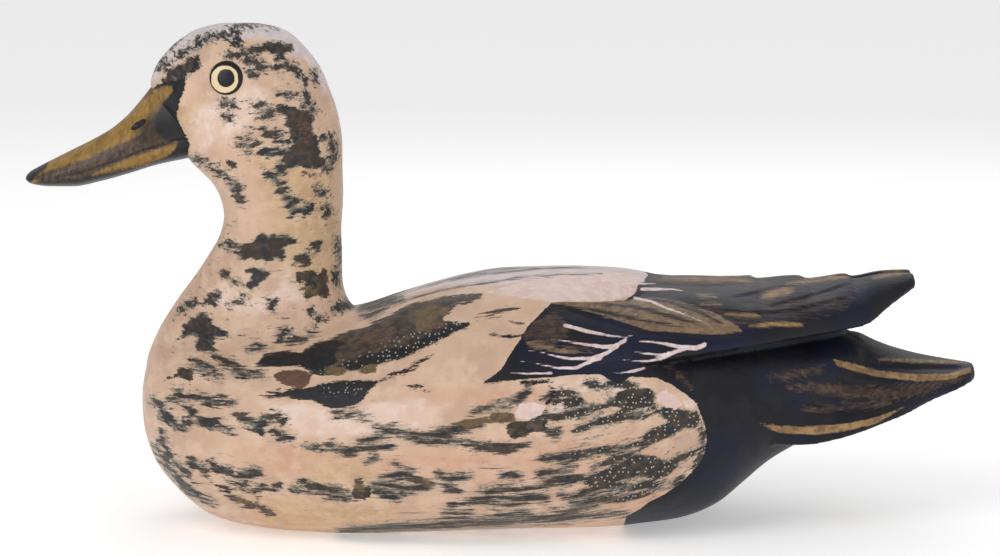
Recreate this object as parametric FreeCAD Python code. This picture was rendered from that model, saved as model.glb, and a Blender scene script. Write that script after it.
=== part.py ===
import FreeCAD, Part
import math
import os

# Floating duck decoy: a hollow carved body on a bottom board, with a doweled head and bill.
# Millimetres.  The duck faces -X, +Z is up, and the origin is under the middle of its length, on
# the flat face that it stands on.  It is the same on both sides of the XZ plane.

Vec = FreeCAD.Vector
X_AXIS = Vec(1, 0, 0)
Y_AXIS = Vec(0, 1, 0)
Z_AXIS = Vec(0, 0, 1)

# Driving dimensions
LENGTH = 400.0            # bill tip to tail tip
SEAM_Z = 26.0             # top of the bottom board
NECK_SEAT_Z = 92.0        # flat joint between body and neck
WALL = 24.0               # wood left round the hollow
HOLLOW_ENDS = (-115.0, 80.0)
NECK_X = -100.0           # middle of the neck seat
NECK_FOOT = (-155.0, -60.0)   # the seat's cut runs between these places along the body
EGG_POWERS = (2.5, 2.15)  # how square the body's sections are, below and above the widest line
SECTION_POINTS = 24       # points on each closed section

EYE_AT = Vec(-113.6, 24.0, 189.0)
EYE_RADIUS = 7.0
EYE_DEPTH = 6.0
EYE_DOME = 1.6            # how far the eye stands out of its socket

# the dowel slopes down by its droop, in degrees, towards the bill's tip
BILL_DOWEL = {"from": Vec(-124, 0, 167), "radius": 4.0, "length": 34.0, "droop": 14.0}
BILL_WIDEST_SHARE = 0.34  # where the bill is widest, as a share of its height
BILL_POWERS = (2.2, 1.9)

NECK_SCREW = {"radius": 3.8, "length": 78.0, "head_radius": 7.5, "head_height": 5.5}
NECK_WASHER = {"radius": 13.0, "thickness": 2.0}
NECK_DOWEL = {"radius": 4.0, "length": 32.0, "offset": 18.0}

BOTTOM_SCREW = {"radius": 2.3, "length": 34.0, "head_radius": 4.6, "head_height": 3.0}
SCREW_SLOT = {"width": 1.0, "depth": 1.0}
SCREW_TIP_SHARE = 0.18    # share of a screw's length that tapers
SCREW_POINT_SHARE = 0.2   # the point's radius as a share of the shank's
OVERCUT = 30.0            # how far a cut starts outside the wood
SPOT_FACE_MARGIN = 1.0
PLUG_RADIUS = 5.0
PLUG_LENGTH = 7.0
BOTTOM_SCREWS_AT = [(-122, 0), (-72, 43), (-72, -43), (22, 43), (22, -43), (86, 0)]

BALLAST = {"length": 84.0, "width": 34.0, "thickness": 8.0, "x": -12.0, "inset": 0.3}
BALLAST_SCREW = {"radius": 2.0, "length": 19.0, "head_radius": 4.2, "head_height": 2.6}
BALLAST_SCREW_PITCH = 56.0

POCKET = {"x": -84.0, "radius": 13.0, "depth": 19.0}
STAPLE = {"wire": 1.2, "half_span": 6.0, "bend": 2.4, "bar_z": 12.8, "bite": 5.0}
RING = {"wire": 1.1, "radius": 6.5, "play": 0.06}


def smooth(stations, at):
    """The value at a place on a smooth line through (place, value) stations, without overshoot."""
    places = [s[0] for s in stations]
    values = [s[1] for s in stations]
    if at <= places[0]:
        return values[0]
    if at >= places[-1]:
        return values[-1]
    steps = [b - a for a, b in zip(places, places[1:])]
    slopes = [(b - a) / d for a, b, d in zip(values, values[1:], steps)]
    tangents = [slopes[0]]
    for left, right in zip(slopes, slopes[1:]):
        tangents.append(0.0 if left * right <= 0 else 2 * left * right / (left + right))
    tangents.append(slopes[-1])
    i = max(k for k in range(len(steps)) if at >= places[k])
    t = (at - places[i]) / steps[i]
    return (values[i] * (1 + 2 * t) * (1 - t) ** 2
            + values[i + 1] * t * t * (3 - 2 * t)
            + steps[i] * (tangents[i] * t * (1 - t) ** 2 - tangents[i + 1] * t * t * (1 - t)))


def power(value, exponent):
    """A signed power, which makes the superellipse sections."""
    return math.copysign(abs(value) ** exponent, value)


def closed_wire(points):
    curve = Part.BSplineCurve()
    curve.interpolate(Points=points, PeriodicFlag=True)
    return Part.Wire([curve.toShape()])


def loft(wires):
    solid = Part.makeLoft(wires, True, False)
    if solid.Volume < 0:
        solid.reverse()
    return solid


def upright_section(x, bottom, widest, top, half_width, lower_power, upper_power):
    """A section across the body at x: a superellipse with its own power above and below."""
    points = []
    for k in range(SECTION_POINTS):
        angle = 2 * math.pi * k / SECTION_POINTS - math.pi / 2
        exponent = 2 / (upper_power if math.sin(angle) > 0 else lower_power)
        reach = top - widest if math.sin(angle) > 0 else widest - bottom
        points.append(Vec(x, half_width * power(math.cos(angle), exponent),
                          widest + reach * power(math.sin(angle), exponent)))
    return closed_wire(points)


def level_section(z, front, back, half_width):
    """A level ellipse through the neck or head at z."""
    middle = (front + back) / 2
    reach = (back - front) / 2
    points = []
    for k in range(SECTION_POINTS):
        angle = 2 * math.pi * k / SECTION_POINTS
        points.append(Vec(middle - reach * math.cos(angle), half_width * math.sin(angle), z))
    return closed_wire(points)


# Outlines, as (place, value)
BACK_LINE = [(-152.3, 52), (-149.8, 68), (-144.6, 78), (-134, 84), (-112, 86), (-84, 87),
             (-62, 89.4), (-40, 96.4), (-18, 102.7), (5, 106), (25, 107), (50, 105.5), (75, 101), (100, 95),
             (125, 88), (150, 79)]
KEEL_LINE = [(-152.3, 50), (-150.7, 37), (-146.4, 26.8), (-140, 18.6), (-132, 10.4), (-120, 3),
             (-106, -0.3), (-92, -2), (-65, -3), (-35, -2.2), (0, -0.9), (35, -0.5), (50, -0.1),
             (60, 0.9), (70, 2), (80, 3.8), (90, 7.8), (101, 17.2), (112, 26.6), (125, 34), (150, 48)]
PLAN = [(-152.3, 4), (-150.8, 17), (-146.6, 31), (-139.3, 43), (-128, 54), (-110, 63), (-85, 70),
        (-50, 75), (-10, 76.5), (30, 74), (60, 68), (90, 58), (115, 48), (135, 39), (150, 29)]
WIDEST_Z = [(-152.3, 51), (-140, 48), (-100, 44), (0, 45), (60, 50), (100, 58), (150, 64)]
BODY_STATIONS = [-152.3, -151.4, -149.3, -144.6, -137, -127, -112, -92, -65, -35, -5, 25, 52, 75,
                 95, 112, 130, 150]

NECK_FRONT = [(40, -146.6), (55, -151), (66, -150.6), (78, -146.6), (92, -138), (102, -130.9),
              (112, -123.8), (120, -119.4), (130, -117.2), (137, -118.6), (143, -122),
              (150, -129), (160, -136), (172, -142), (184, -147.2), (192, -144.8), (199, -139.6),
              (204, -133.8), (207.6, -127.4), (210, -118)]
NECK_BACK = [(40, -40), (66, -50), (78, -56), (88, -61), (94, -65.4), (102, -67.4), (120, -67.8),
             (140, -66.8), (160, -66.8), (172, -68.8), (182, -72.2), (190, -75.6), (198, -80.8),
             (204, -86), (208, -92.5), (210, -102)]
NECK_HALF = [(40, 60), (55, 54), (66, 48), (78, 40), (92, 30.5), (104, 25), (118, 22.6),
             (132, 22.4), (145, 24), (158, 26.4), (170, 27), (182, 26.2), (192, 24), (199, 20.6),
             (204, 16.6), (207.8, 11.5), (210, 6)]
NECK_STATIONS = [52, 62, 76, 92, 104, 117, 130, 141, 151, 162, 174, 185, 194, 200, 205, 208.2,
                 210.1]

WING_TOP = [(20, 98), (50, 103), (80, 102.6), (110, 101.4), (140, 103), (158, 105), (173, 105.9)]
WING_EDGE = [(20, 70), (50, 75), (66, 77.4), (86, 79.6), (106, 81.7), (123, 83.5), (136, 84.7),
             (151, 86.4), (162, 93.6), (173, 100)]
WING_HALF = [(20, 66), (50, 66), (86, 60.5), (115, 49.5), (140, 37.5), (155, 28.5), (173, 13)]
WING_STATIONS = [24, 45, 65, 86, 105, 124, 140, 152, 163, 173.2]

TAIL_TOP = [(90, 84), (120, 83), (140, 81.5), (151, 79.4), (158, 75.8), (166, 72.4), (178, 69.2),
            (190, 67.4), (200, 66)]
TAIL_EDGE = [(90, 40), (120, 38), (140, 41), (152, 44), (165, 48.4), (180, 54), (200, 60)]
TAIL_HALF = [(90, 38), (115, 42.5), (130, 42.5), (150, 38.5), (165, 33), (180, 25.5), (192, 17.5),
             (200, 11)]
TAIL_STATIONS = [96, 112, 128, 142, 154, 166, 179, 191, 200]
# shares of the half-width where a roof section has its points, along the top and underneath
ROOF_SHARES = (-1.0, -0.8, -0.55, -0.28, 0.0, 0.28, 0.55, 0.8, 1.0)
UNDER_SHARES = (0.97, 0.5, 0.0, -0.5, -0.97)
ROOF_ARCH = 0.96          # 1 would make the roof a half ellipse
ROOF_FALL = 0.8           # the arch's own drop from ridge to edge, as a share of its height
WING_ROOF = {"lip": 1.5, "sag": 2.0}     # edge thickness, and how hollow the underside is
TAIL_ROOF = {"lip": 4.0, "sag": 1.0}
TIP_GAP = {"root_x": 128.0, "half_width": 5.0, "floor_z": 88.0}   # between the two wing tips

BILL_TOP = [(-200, 146), (-199, 147.2), (-195, 149.6), (-188, 153.2), (-180, 157.2),
            (-172, 161.2), (-164, 165.8), (-157, 171.6), (-150, 180), (-144, 187.2), (-134, 191)]
BILL_BOTTOM = [(-200, 144.4), (-198, 142.8), (-190, 141.7), (-180, 141.6), (-168, 143.9),
               (-156, 147.2), (-145, 150.6), (-134, 153.4)]
BILL_HALF = [(-200, 4), (-199, 6), (-196, 9), (-190, 12), (-182, 13), (-172, 12.4), (-160, 12.2),
             (-148, 13.6), (-134, 15.5)]
BILL_STATIONS = [-200, -199.2, -197, -193, -187, -179, -170, -161, -152, -143, -134]


def body_egg(shrink=0.0):
    """The body without neck, wings or tail; shrink moves every side inwards, for the hollow."""
    wires = []
    for x in BODY_STATIONS:
        if shrink and not HOLLOW_ENDS[0] <= x <= HOLLOW_ENDS[1]:
            continue
        wires.append(upright_section(x, smooth(KEEL_LINE, x) + shrink, smooth(WIDEST_Z, x),
                                     smooth(BACK_LINE, x) - shrink,
                                     smooth(PLAN, x) - shrink, *EGG_POWERS))
    return loft(wires)


def neck_and_head():
    """The neck's root in the breast, the neck and the head, as level sections."""
    return loft([level_section(z, smooth(NECK_FRONT, z), smooth(NECK_BACK, z),
                               smooth(NECK_HALF, z)) for z in NECK_STATIONS])


def roof_section(x, top, edge, half_width, roof):
    """A roof-shaped section: an arched top, upright edges and a nearly level underside."""
    points = []
    for share in ROOF_SHARES:
        drop = (1 - math.sqrt(1 - share * share * ROOF_ARCH)) / ROOF_FALL
        points.append(Vec(x, half_width * share, top - (top - edge - roof["lip"]) * drop))
    for share in UNDER_SHARES:
        points.append(Vec(x, half_width * share, edge + roof["sag"] * (1 - share * share)))
    return closed_wire(points)


def wings():
    """Both folded wings, which overhang the tail, with a gap between their tips."""
    block = loft([roof_section(x, smooth(WING_TOP, x), smooth(WING_EDGE, x),
                               smooth(WING_HALF, x), WING_ROOF) for x in WING_STATIONS])
    floor_z = TIP_GAP["floor_z"]
    corners = [Vec(TIP_GAP["root_x"], 0, floor_z),
               Vec(LENGTH / 2, -TIP_GAP["half_width"], floor_z),
               Vec(LENGTH / 2, TIP_GAP["half_width"], floor_z)]
    outline = Part.makePolygon(corners + corners[:1])
    gap = Part.Face(outline).extrude(Z_AXIS * LENGTH)
    return block.cut(gap)


def tail():
    return loft([roof_section(x, smooth(TAIL_TOP, x), smooth(TAIL_EDGE, x),
                              smooth(TAIL_HALF, x), TAIL_ROOF) for x in TAIL_STATIONS])


def slab(z_low, z_high, x_low=-LENGTH, x_high=LENGTH):
    """Everything between two levels, and if asked between two places along the body."""
    return Part.makeBox(x_high - x_low, 2 * LENGTH, z_high - z_low, Vec(x_low, -LENGTH, z_low))


def carved_duck():
    """The outside of body, neck and head in one, cut flat at the base."""
    everything = body_egg().fuse([neck_and_head(), wings(), tail()])
    return everything.removeSplitter().common(slab(0, LENGTH))


def screw(at, size, countersunk):
    """A wood screw that points up, with the outer face of its slotted head at a point."""
    if countersunk:
        head = Part.makeCone(size["head_radius"], size["radius"], size["head_height"], at)
    else:
        head = Part.makeCylinder(size["head_radius"], size["head_height"], at)
    straight = size["length"] * (1 - SCREW_TIP_SHARE)
    shank = Part.makeCylinder(size["radius"], straight, at)
    tip = Part.makeCone(size["radius"], size["radius"] * SCREW_POINT_SHARE,
                        size["length"] - straight, at + Z_AXIS * straight)
    half = size["head_radius"] * 1.5
    slot = Part.makeBox(2 * half, SCREW_SLOT["width"], 2 * SCREW_SLOT["depth"],
                        at - Vec(half, SCREW_SLOT["width"] / 2, SCREW_SLOT["depth"]))
    return head.fuse([shank, tip]).removeSplitter().cut(slot)


def washer_seat_z():
    """The level of the spot face for the neck washer, at the top of the hollow."""
    return smooth(BACK_LINE, NECK_X) - WALL


def neck_washer():
    low = Vec(NECK_X, 0, washer_seat_z() - NECK_WASHER["thickness"])
    disc = Part.makeCylinder(NECK_WASHER["radius"], NECK_WASHER["thickness"], low)
    return disc.cut(Part.makeCylinder(NECK_SCREW["radius"], NECK_WASHER["thickness"], low))


def neck_screw():
    """The long screw that pulls the neck onto its seat."""
    low_z = washer_seat_z() - NECK_WASHER["thickness"] - NECK_SCREW["head_height"]
    return screw(Vec(NECK_X, 0, low_z), NECK_SCREW, False)


def neck_dowels():
    low_z = NECK_SEAT_Z - NECK_DOWEL["length"] / 2
    return [Part.makeCylinder(NECK_DOWEL["radius"], NECK_DOWEL["length"],
                              Vec(NECK_X + side * NECK_DOWEL["offset"], 0, low_z))
            for side in (-1, 1)]


def bill_dowel():
    droop = math.radians(BILL_DOWEL["droop"])
    along = Vec(-math.cos(droop), 0, -math.sin(droop))
    return Part.makeCylinder(BILL_DOWEL["radius"], BILL_DOWEL["length"], BILL_DOWEL["from"], along)


def bill_blank():
    """The bill before its root is cut to fit the face."""
    wires = []
    for x in BILL_STATIONS:
        bottom = smooth(BILL_BOTTOM, x)
        top = smooth(BILL_TOP, x)
        widest = bottom + (top - bottom) * BILL_WIDEST_SHARE
        wires.append(upright_section(x, bottom, widest, top, smooth(BILL_HALF, x), *BILL_POWERS))
    return loft(wires)


def eye(side):
    """A domed eye button; side is -1 for the duck's left eye and 1 for its right."""
    out = Y_AXIS * side
    face = Vec(EYE_AT.x, side * EYE_AT.y, EYE_AT.z)
    stem = Part.makeCylinder(EYE_RADIUS, EYE_DEPTH, face - out * EYE_DEPTH, out)
    ball_radius = (EYE_RADIUS ** 2 + EYE_DOME ** 2) / (2 * EYE_DOME)
    ball = Part.makeSphere(ball_radius, face + out * (EYE_DOME - ball_radius))
    rod = Part.makeCylinder(EYE_RADIUS, EYE_DEPTH, face - out * EYE_DOME, out)
    return stem.fuse(ball.common(rod)).removeSplitter()


def ballast_block(below=0.0):
    """The round-ended weight let into the underside; below makes the same shape reach lower."""
    radius = BALLAST["width"] / 2
    straight = BALLAST["length"] - BALLAST["width"]
    height = BALLAST["thickness"] + below
    low = Vec(BALLAST["x"] - straight / 2, 0, BALLAST["inset"] - below)
    ends = [Part.makeCylinder(radius, height, low + X_AXIS * step) for step in (0, straight)]
    middle = Part.makeBox(straight, 2 * radius, height, low - Y_AXIS * radius)
    return middle.fuse(ends).removeSplitter()


def ballast_screws():
    return [screw(Vec(BALLAST["x"] + side * BALLAST_SCREW_PITCH / 2, 0, BALLAST["inset"]),
                  BALLAST_SCREW, True) for side in (-1, 1)]


def under_z(x, y):
    """The level of the underside at a place, no lower than the flat base."""
    widest = smooth(WIDEST_Z, x)
    reach = widest - smooth(KEEL_LINE, x)
    share = abs(y) / smooth(PLAN, x)
    return max(0.0, widest - reach * (1 - share ** EGG_POWERS[0]) ** (1 / EGG_POWERS[0]))


def board_screws():
    """The screws that hold the bottom board, each sunk under a plug."""
    return [screw(Vec(x, y, under_z(x, y) + PLUG_LENGTH), BOTTOM_SCREW, True)
            for x, y in BOTTOM_SCREWS_AT]


def plug_bores():
    return [Part.makeCylinder(PLUG_RADIUS, PLUG_LENGTH + OVERCUT,
                              Vec(x, y, under_z(x, y) - OVERCUT))
            for x, y in BOTTOM_SCREWS_AT]


def staple():
    """The U of wire in the pocket's ceiling, which the ring hangs on."""
    x = POCKET["x"]
    side = STAPLE["half_span"]
    low = STAPLE["bar_z"]
    high = POCKET["depth"] + STAPLE["bite"]
    bend = STAPLE["bend"]
    corner = bend * (1 - math.sqrt(0.5))
    path = Part.Wire([
        Part.LineSegment(Vec(x, -side, high), Vec(x, -side, low + bend)).toShape(),
        Part.Arc(Vec(x, -side, low + bend), Vec(x, corner - side, low + corner),
                 Vec(x, bend - side, low)).toShape(),
        Part.LineSegment(Vec(x, bend - side, low), Vec(x, side - bend, low)).toShape(),
        Part.Arc(Vec(x, side - bend, low), Vec(x, side - corner, low + corner),
                 Vec(x, side, low + bend)).toShape(),
        Part.LineSegment(Vec(x, side, low + bend), Vec(x, side, high)).toShape()])
    profile = Part.Wire([Part.Circle(Vec(x, -side, high), Z_AXIS, STAPLE["wire"]).toShape()])
    return path.makePipeShell([profile], True, False)


def ring():
    """The line ring, hanging from the staple's bar."""
    drop = RING["radius"] - STAPLE["wire"] - RING["wire"] - RING["play"]
    centre = Vec(POCKET["x"], 0, STAPLE["bar_z"] - drop)
    return Part.makeTorus(RING["radius"], RING["wire"], centre, Y_AXIS)


def above_neck_seat():
    return slab(NECK_SEAT_Z, LENGTH, *NECK_FOOT)


def body_shell(duck, inserts):
    """The carved body block, with its hollow and the spot face for the neck washer."""
    hollow = body_egg(WALL).common(slab(SEAM_Z, LENGTH))
    spot = Part.makeCylinder(NECK_WASHER["radius"] + SPOT_FACE_MARGIN, WALL,
                             Vec(NECK_X, 0, washer_seat_z() - WALL))
    block = duck.common(slab(SEAM_Z, LENGTH)).cut(above_neck_seat())
    return block.cut([hollow, spot, *inserts])


def bottom_board(duck, inserts):
    """The board that closes the hollow, with the line-tie pocket and the ballast recess."""
    pocket = Part.makeCylinder(POCKET["radius"], POCKET["depth"] + OVERCUT,
                               Vec(POCKET["x"], 0, -OVERCUT))
    return duck.common(slab(0, SEAM_Z)).cut([pocket, ballast_block(OVERCUT), *inserts])


def build():
    """Every node's name and shape."""
    duck = carved_duck()
    eyes = [eye(-1), eye(1)]
    dowels = neck_dowels()
    under_screws = board_screws()
    bores = plug_bores()
    weight_screws = ballast_screws()
    head_block = duck.common(above_neck_seat())
    plugs = [bore.common(duck).cut(one) for bore, one in zip(bores, under_screws)]
    return {
        "body_shell": body_shell(duck, [neck_screw(), *dowels, *under_screws]),
        "bottom_board": bottom_board(duck, [staple(), *weight_screws, *under_screws, *bores]),
        "head_and_neck": head_block.cut([bill_dowel(), neck_screw(), *dowels, *eyes]),
        "bill": bill_blank().cut(head_block).cut(bill_dowel()),
        "bill_dowel": bill_dowel(),
        "left_eye": eyes[0],
        "right_eye": eyes[1],
        "neck_screw": neck_screw(),
        "neck_washer": neck_washer(),
        "neck_dowels": Part.makeCompound(dowels),
        "bottom_screws": Part.makeCompound(under_screws),
        "screw_plugs": Part.makeCompound(plugs),
        "ballast_weight": ballast_block().cut(weight_screws),
        "ballast_screws": Part.makeCompound(weight_screws),
        "line_tie_staple": staple(),
        "line_tie_ring": ring(),
    }


os.makedirs("parts", exist_ok=True)
for name, shape in build().items():
    print(f"{name}: {len(shape.Solids)} solid(s), valid {shape.isValid()},"
          f" {shape.Volume / 1000:.2f} cm3")
    shape.exportStep(f"parts/{name}.step")
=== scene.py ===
import math
import bpy
import bmesh
import numpy as np
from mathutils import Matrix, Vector
from mathutils.bvhtree import BVHTree


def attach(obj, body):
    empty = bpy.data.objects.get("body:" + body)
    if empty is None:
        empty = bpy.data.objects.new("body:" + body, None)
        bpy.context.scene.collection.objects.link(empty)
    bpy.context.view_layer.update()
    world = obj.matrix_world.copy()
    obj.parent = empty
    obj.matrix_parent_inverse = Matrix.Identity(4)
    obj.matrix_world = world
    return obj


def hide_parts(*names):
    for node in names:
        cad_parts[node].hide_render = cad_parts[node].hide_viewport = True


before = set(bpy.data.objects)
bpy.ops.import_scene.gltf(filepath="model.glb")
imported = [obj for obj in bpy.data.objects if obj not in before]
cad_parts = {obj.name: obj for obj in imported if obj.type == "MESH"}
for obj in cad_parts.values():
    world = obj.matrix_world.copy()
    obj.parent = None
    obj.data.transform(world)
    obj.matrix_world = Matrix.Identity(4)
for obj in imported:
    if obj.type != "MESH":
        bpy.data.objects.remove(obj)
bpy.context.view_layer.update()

mm = 0.001

# All lengths in the dictionaries are millimetres. The duck faces -X and its left side faces -Y.
# Paint and carving are laid out on a drawing of the duck's side, seen from a little above:
# (along, up) places, where along is X and up is the height in that drawing.
sideDrawing = {
    "lean": 0.14,          # how much a point nearer the viewer drops in the drawing
    "reach": 1400.0,       # viewing distance, which makes near points a little larger
    "eyeLevel": 100.0,
}

bodyShape = {
    "back": [(-152.3, 52), (-149.8, 68), (-144.6, 78), (-134, 84), (-112, 86), (-84, 87),
             (-62, 89.4), (-40, 96.4), (-18, 102.7), (5, 106), (25, 107), (50, 105.5), (75, 101), (100, 95),
             (125, 88), (150, 79)],
    "keel": [(-152.3, 50), (-150.7, 37), (-146.4, 26.8), (-140, 18.6), (-132, 10.4), (-120, 3),
             (-106, -0.3), (-92, -2), (-65, -3), (-35, -2.2), (0, -0.9), (35, -0.5), (50, -0.1),
             (60, 0.9), (70, 2), (80, 3.8), (90, 7.8), (101, 17.2), (112, 26.6), (125, 34), (150, 48)],
    "plan": [(-152.3, 4), (-150.8, 17), (-146.6, 31), (-139.3, 43), (-128, 54), (-110, 63), (-85, 70),
             (-50, 75), (-10, 76.2), (30, 74), (60, 68), (90, 57), (115, 46), (135, 37), (150, 28)],
    "widest": [(-152.3, 51), (-140, 48), (-100, 44), (0, 45), (60, 50), (100, 58), (150, 64)],
    "nose": -152.3, "end": 150.0, "noseRun": 14.0, "noseRings": 12, "step": 3.5, "around": 96,
    "powerBelow": 2.5, "powerAbove": 2.15,
    "seam": 26.0,          # top of the bottom board
    "neckSeat": 92.0,
    "neckSeatBack": -60.0,
}
neckShape = {
    "front": [(40, -146.6), (55, -151), (66, -150.6), (78, -146.6), (92, -138), (102, -130.9),
              (112, -123.8), (120, -119.4), (130, -117.2), (137, -118.6), (143, -122),
              (150, -129), (160, -136), (172, -142), (184, -147.2), (192, -144.8), (199, -139.6),
              (204, -133.8), (207.6, -127.4), (210, -118)],
    "back": [(40, -40), (66, -50), (78, -56), (88, -61), (94, -65.4), (102, -67.4), (120, -67.8),
             (140, -66.8), (160, -66.8), (172, -68.8), (182, -72.2), (190, -75.6), (198, -80.8),
             (204, -86), (208, -92.5), (210, -102)],
    "half": [(40, 60), (55, 54), (66, 48), (78, 40), (92, 30.5), (104, 25), (118, 22.6),
             (132, 22.4), (145, 24), (158, 26.4), (170, 27), (182, 26.2), (192, 24), (199, 20.6),
             (204, 16.6), (207.8, 11.5), (210, 6)],
    "foot": 48.0, "crown": 196.0, "crownRise": 14.0, "crownRings": 14, "step": 3.0, "around": 80,
}
roofArch = {"round": 0.96, "depth": 0.8, "turn": 0.98, "overlap": 3.0, "above": 30, "beneath": 16}
wingShape = {
    "top": [(20, 98), (50, 103.4), (80, 102.5), (106, 102.3), (107.2, 100.9), (127, 103),
            (128.2, 101.7), (146, 104.2), (147.2, 102.9), (160, 104.9), (173, 105.7)],
    "edge": [(20, 70), (50, 75), (66, 77.4), (86, 79.6), (106, 81.7), (123, 83.5), (136, 84.7),
             (151, 86.4), (162, 93.6), (173, 100)],
    "half": [(20, 66), (50, 66), (86, 60), (115, 49), (140, 37), (155, 28.5), (173, 13)],
    "lip": 2.4, "sag": 2.0, "stations": (24, 172, 1.0), "tip": 173.2,
    "gapRoot": 128.0,      # the two wing tips part here
    "gapSpread": 0.07,
}
tailShape = {
    "top": [(90, 84), (120, 83), (140, 81.5), (151, 79.4), (158, 75.8), (166, 72.4), (178, 69.2),
            (190, 67.4), (200, 66)],
    "edge": [(90, 40), (120, 38), (140, 41), (152, 44), (165, 48.4), (180, 54), (200, 60)],
    "half": [(90, 38), (115, 42.5), (130, 42.5), (150, 38.5), (165, 33), (180, 25.5), (192, 17.5),
             (198, 11.5), (199.8, 8)],
    "lip": 4.0, "sag": 1.0, "stations": (96, 199.5, 1.5), "tip": 199.8,
}
skinFinish = {"voxel": 1.15, "smoothing": 6}


def smooth(stations, at):
    # A smooth line through (place, value) stations that never overshoots them.
    places = np.array([s[0] for s in stations], float)
    values = np.array([s[1] for s in stations], float)
    steps = np.diff(places)
    slopes = np.diff(values) / steps
    tangents = np.zeros(len(places))
    tangents[0], tangents[-1] = slopes[0], slopes[-1]
    same = slopes[:-1] * slopes[1:] > 0
    total = np.where(same, slopes[:-1] + slopes[1:], 1.0)
    tangents[1:-1] = np.where(same, 2 * slopes[:-1] * slopes[1:] / total, 0.0)
    at = np.clip(np.asarray(at, float), places[0], places[-1])
    i = np.clip(np.searchsorted(places, at, side="right") - 1, 0, len(steps) - 1)
    t = (at - places[i]) / steps[i]
    return (values[i] * (1 + 2 * t) * (1 - t) ** 2 + values[i + 1] * t * t * (3 - 2 * t)
            + steps[i] * (tangents[i] * t * (1 - t) ** 2 - tangents[i + 1] * t * t * (1 - t)))


def power(value, exponent):
    return np.sign(value) * np.abs(value) ** exponent


def ringsMesh(name, rings):
    # A closed mesh from rings of the same count of points, with a fan at both ends.
    count = len(rings[0])
    points = [tuple(p * mm) for ring in rings for p in ring]
    faces = []
    for r in range(len(rings) - 1):
        for k in range(count):
            n = (k + 1) % count
            faces.append((r * count + k, r * count + n, (r + 1) * count + n, (r + 1) * count + k))
    for r, flip in ((0, True), (len(rings) - 1, False)):
        centre = len(points)
        points.append(tuple(np.mean(rings[r], axis=0) * mm))
        for k in range(count):
            pair = (r * count + k, r * count + (k + 1) % count)
            faces.append((centre, *(reversed(pair) if flip else pair)))
    mesh = bpy.data.meshes.new(name)
    mesh.from_pydata(points, [], faces)
    mesh.update()
    return mesh


def outward(mesh):
    # Turns all faces to point out of the closed shape.
    bm = bmesh.new()
    bm.from_mesh(mesh)
    bmesh.ops.recalc_face_normals(bm, faces=bm.faces)
    bm.to_mesh(mesh)
    bm.free()
    return mesh


def egg(shrink=0.0, low=bodyShape["nose"], high=bodyShape["end"]):
    # The egg-shaped body; the hollow is the same shape, smaller by shrink.
    nose = low + bodyShape["noseRun"] * np.linspace(0, 1, bodyShape["noseRings"]) ** 2
    step, around = bodyShape["step"], bodyShape["around"]
    stations = np.concatenate([nose, np.arange(nose[-1] + step, high, step), [high]])
    angles = np.linspace(0, 2 * np.pi, around, endpoint=False)
    up = np.sin(angles) > 0
    exponent = np.where(up, 2 / bodyShape["powerAbove"], 2 / bodyShape["powerBelow"])
    rings = []
    for x in stations:
        bottom = smooth(bodyShape["keel"], x) + shrink
        widest = smooth(bodyShape["widest"], x)
        top = smooth(bodyShape["back"], x) - shrink
        half = smooth(bodyShape["plan"], x) - shrink
        reach = np.where(up, top - widest, widest - bottom)
        rings.append(np.stack([np.full(around, x), half * power(np.cos(angles), exponent),
                               widest + reach * power(np.sin(angles), exponent)], axis=1))
    return outward(ringsMesh("egg", rings))


def neck():
    crown, rise, around = neckShape["crown"], neckShape["crownRise"], neckShape["around"]
    levels = np.concatenate([np.arange(neckShape["foot"], crown, neckShape["step"]),
                             crown + rise * np.linspace(0, 1, neckShape["crownRings"]) ** 0.6])
    angles = np.linspace(0, 2 * np.pi, around, endpoint=False)
    rings = []
    for z in levels:
        front, back = smooth(neckShape["front"], z), smooth(neckShape["back"], z)
        rings.append(np.stack([(front + back) / 2 - (back - front) / 2 * np.cos(angles),
                               smooth(neckShape["half"], z) * np.sin(angles),
                               np.full(around, z)], axis=1))
    return outward(ringsMesh("neck", rings))


def roof(shape, stations, side, gap):
    # Half of a roof-shaped loft: the arched top from the middle to the edge, and its underside.
    rings = []
    for x in stations:
        top, edge, half = (smooth(shape[key], x) for key in ("top", "edge", "half"))
        inner = gap(x)
        over = np.linspace(inner / half, 1, roofArch["above"])
        drop = (1 - np.sqrt(1 - roofArch["round"] * over ** 2)) / roofArch["depth"]
        under = np.linspace(roofArch["turn"], inner / half, roofArch["beneath"])
        ys = np.concatenate([over, under]) * half * side
        zs = np.concatenate([top - (top - edge - shape["lip"]) * drop,
                             edge + shape["sag"] * (1 - under ** 2)])
        rings.append(np.stack([np.full(len(ys), x), ys, zs], axis=1))
    return outward(ringsMesh("roof", rings))


def wing(side):
    gap = lambda x: max(-roofArch["overlap"], (x - wingShape["gapRoot"]) * wingShape["gapSpread"])
    return roof(wingShape, np.append(np.arange(*wingShape["stations"]), wingShape["tip"]), side, gap)


def tail(side):
    stations = np.append(np.arange(*tailShape["stations"]), tailShape["tip"])
    return roof(tailShape, stations, side, lambda x: -roofArch["overlap"])


def showPiece(name, mesh):
    piece = bpy.data.objects.new(name, mesh)
    bpy.context.scene.collection.objects.link(piece)
    return piece


def withModifiers(mesh, *modifiers):
    # The mesh after the modifiers, each given as (type, settings).
    helper = showPiece("helper", mesh)
    for kind, settings in modifiers:
        modifier = helper.modifiers.new(kind, kind)
        for key, value in settings.items():
            setattr(modifier, key, value)
    bpy.context.view_layer.update()
    graph = bpy.context.evaluated_depsgraph_get()
    result = bpy.data.meshes.new_from_object(helper.evaluated_get(graph))
    bpy.data.objects.remove(helper)
    return result


def joined(meshes):
    bm = bmesh.new()
    for mesh in meshes:
        bm.from_mesh(mesh)
    result = bpy.data.meshes.new("joined")
    bm.to_mesh(result)
    bm.free()
    return result


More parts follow.
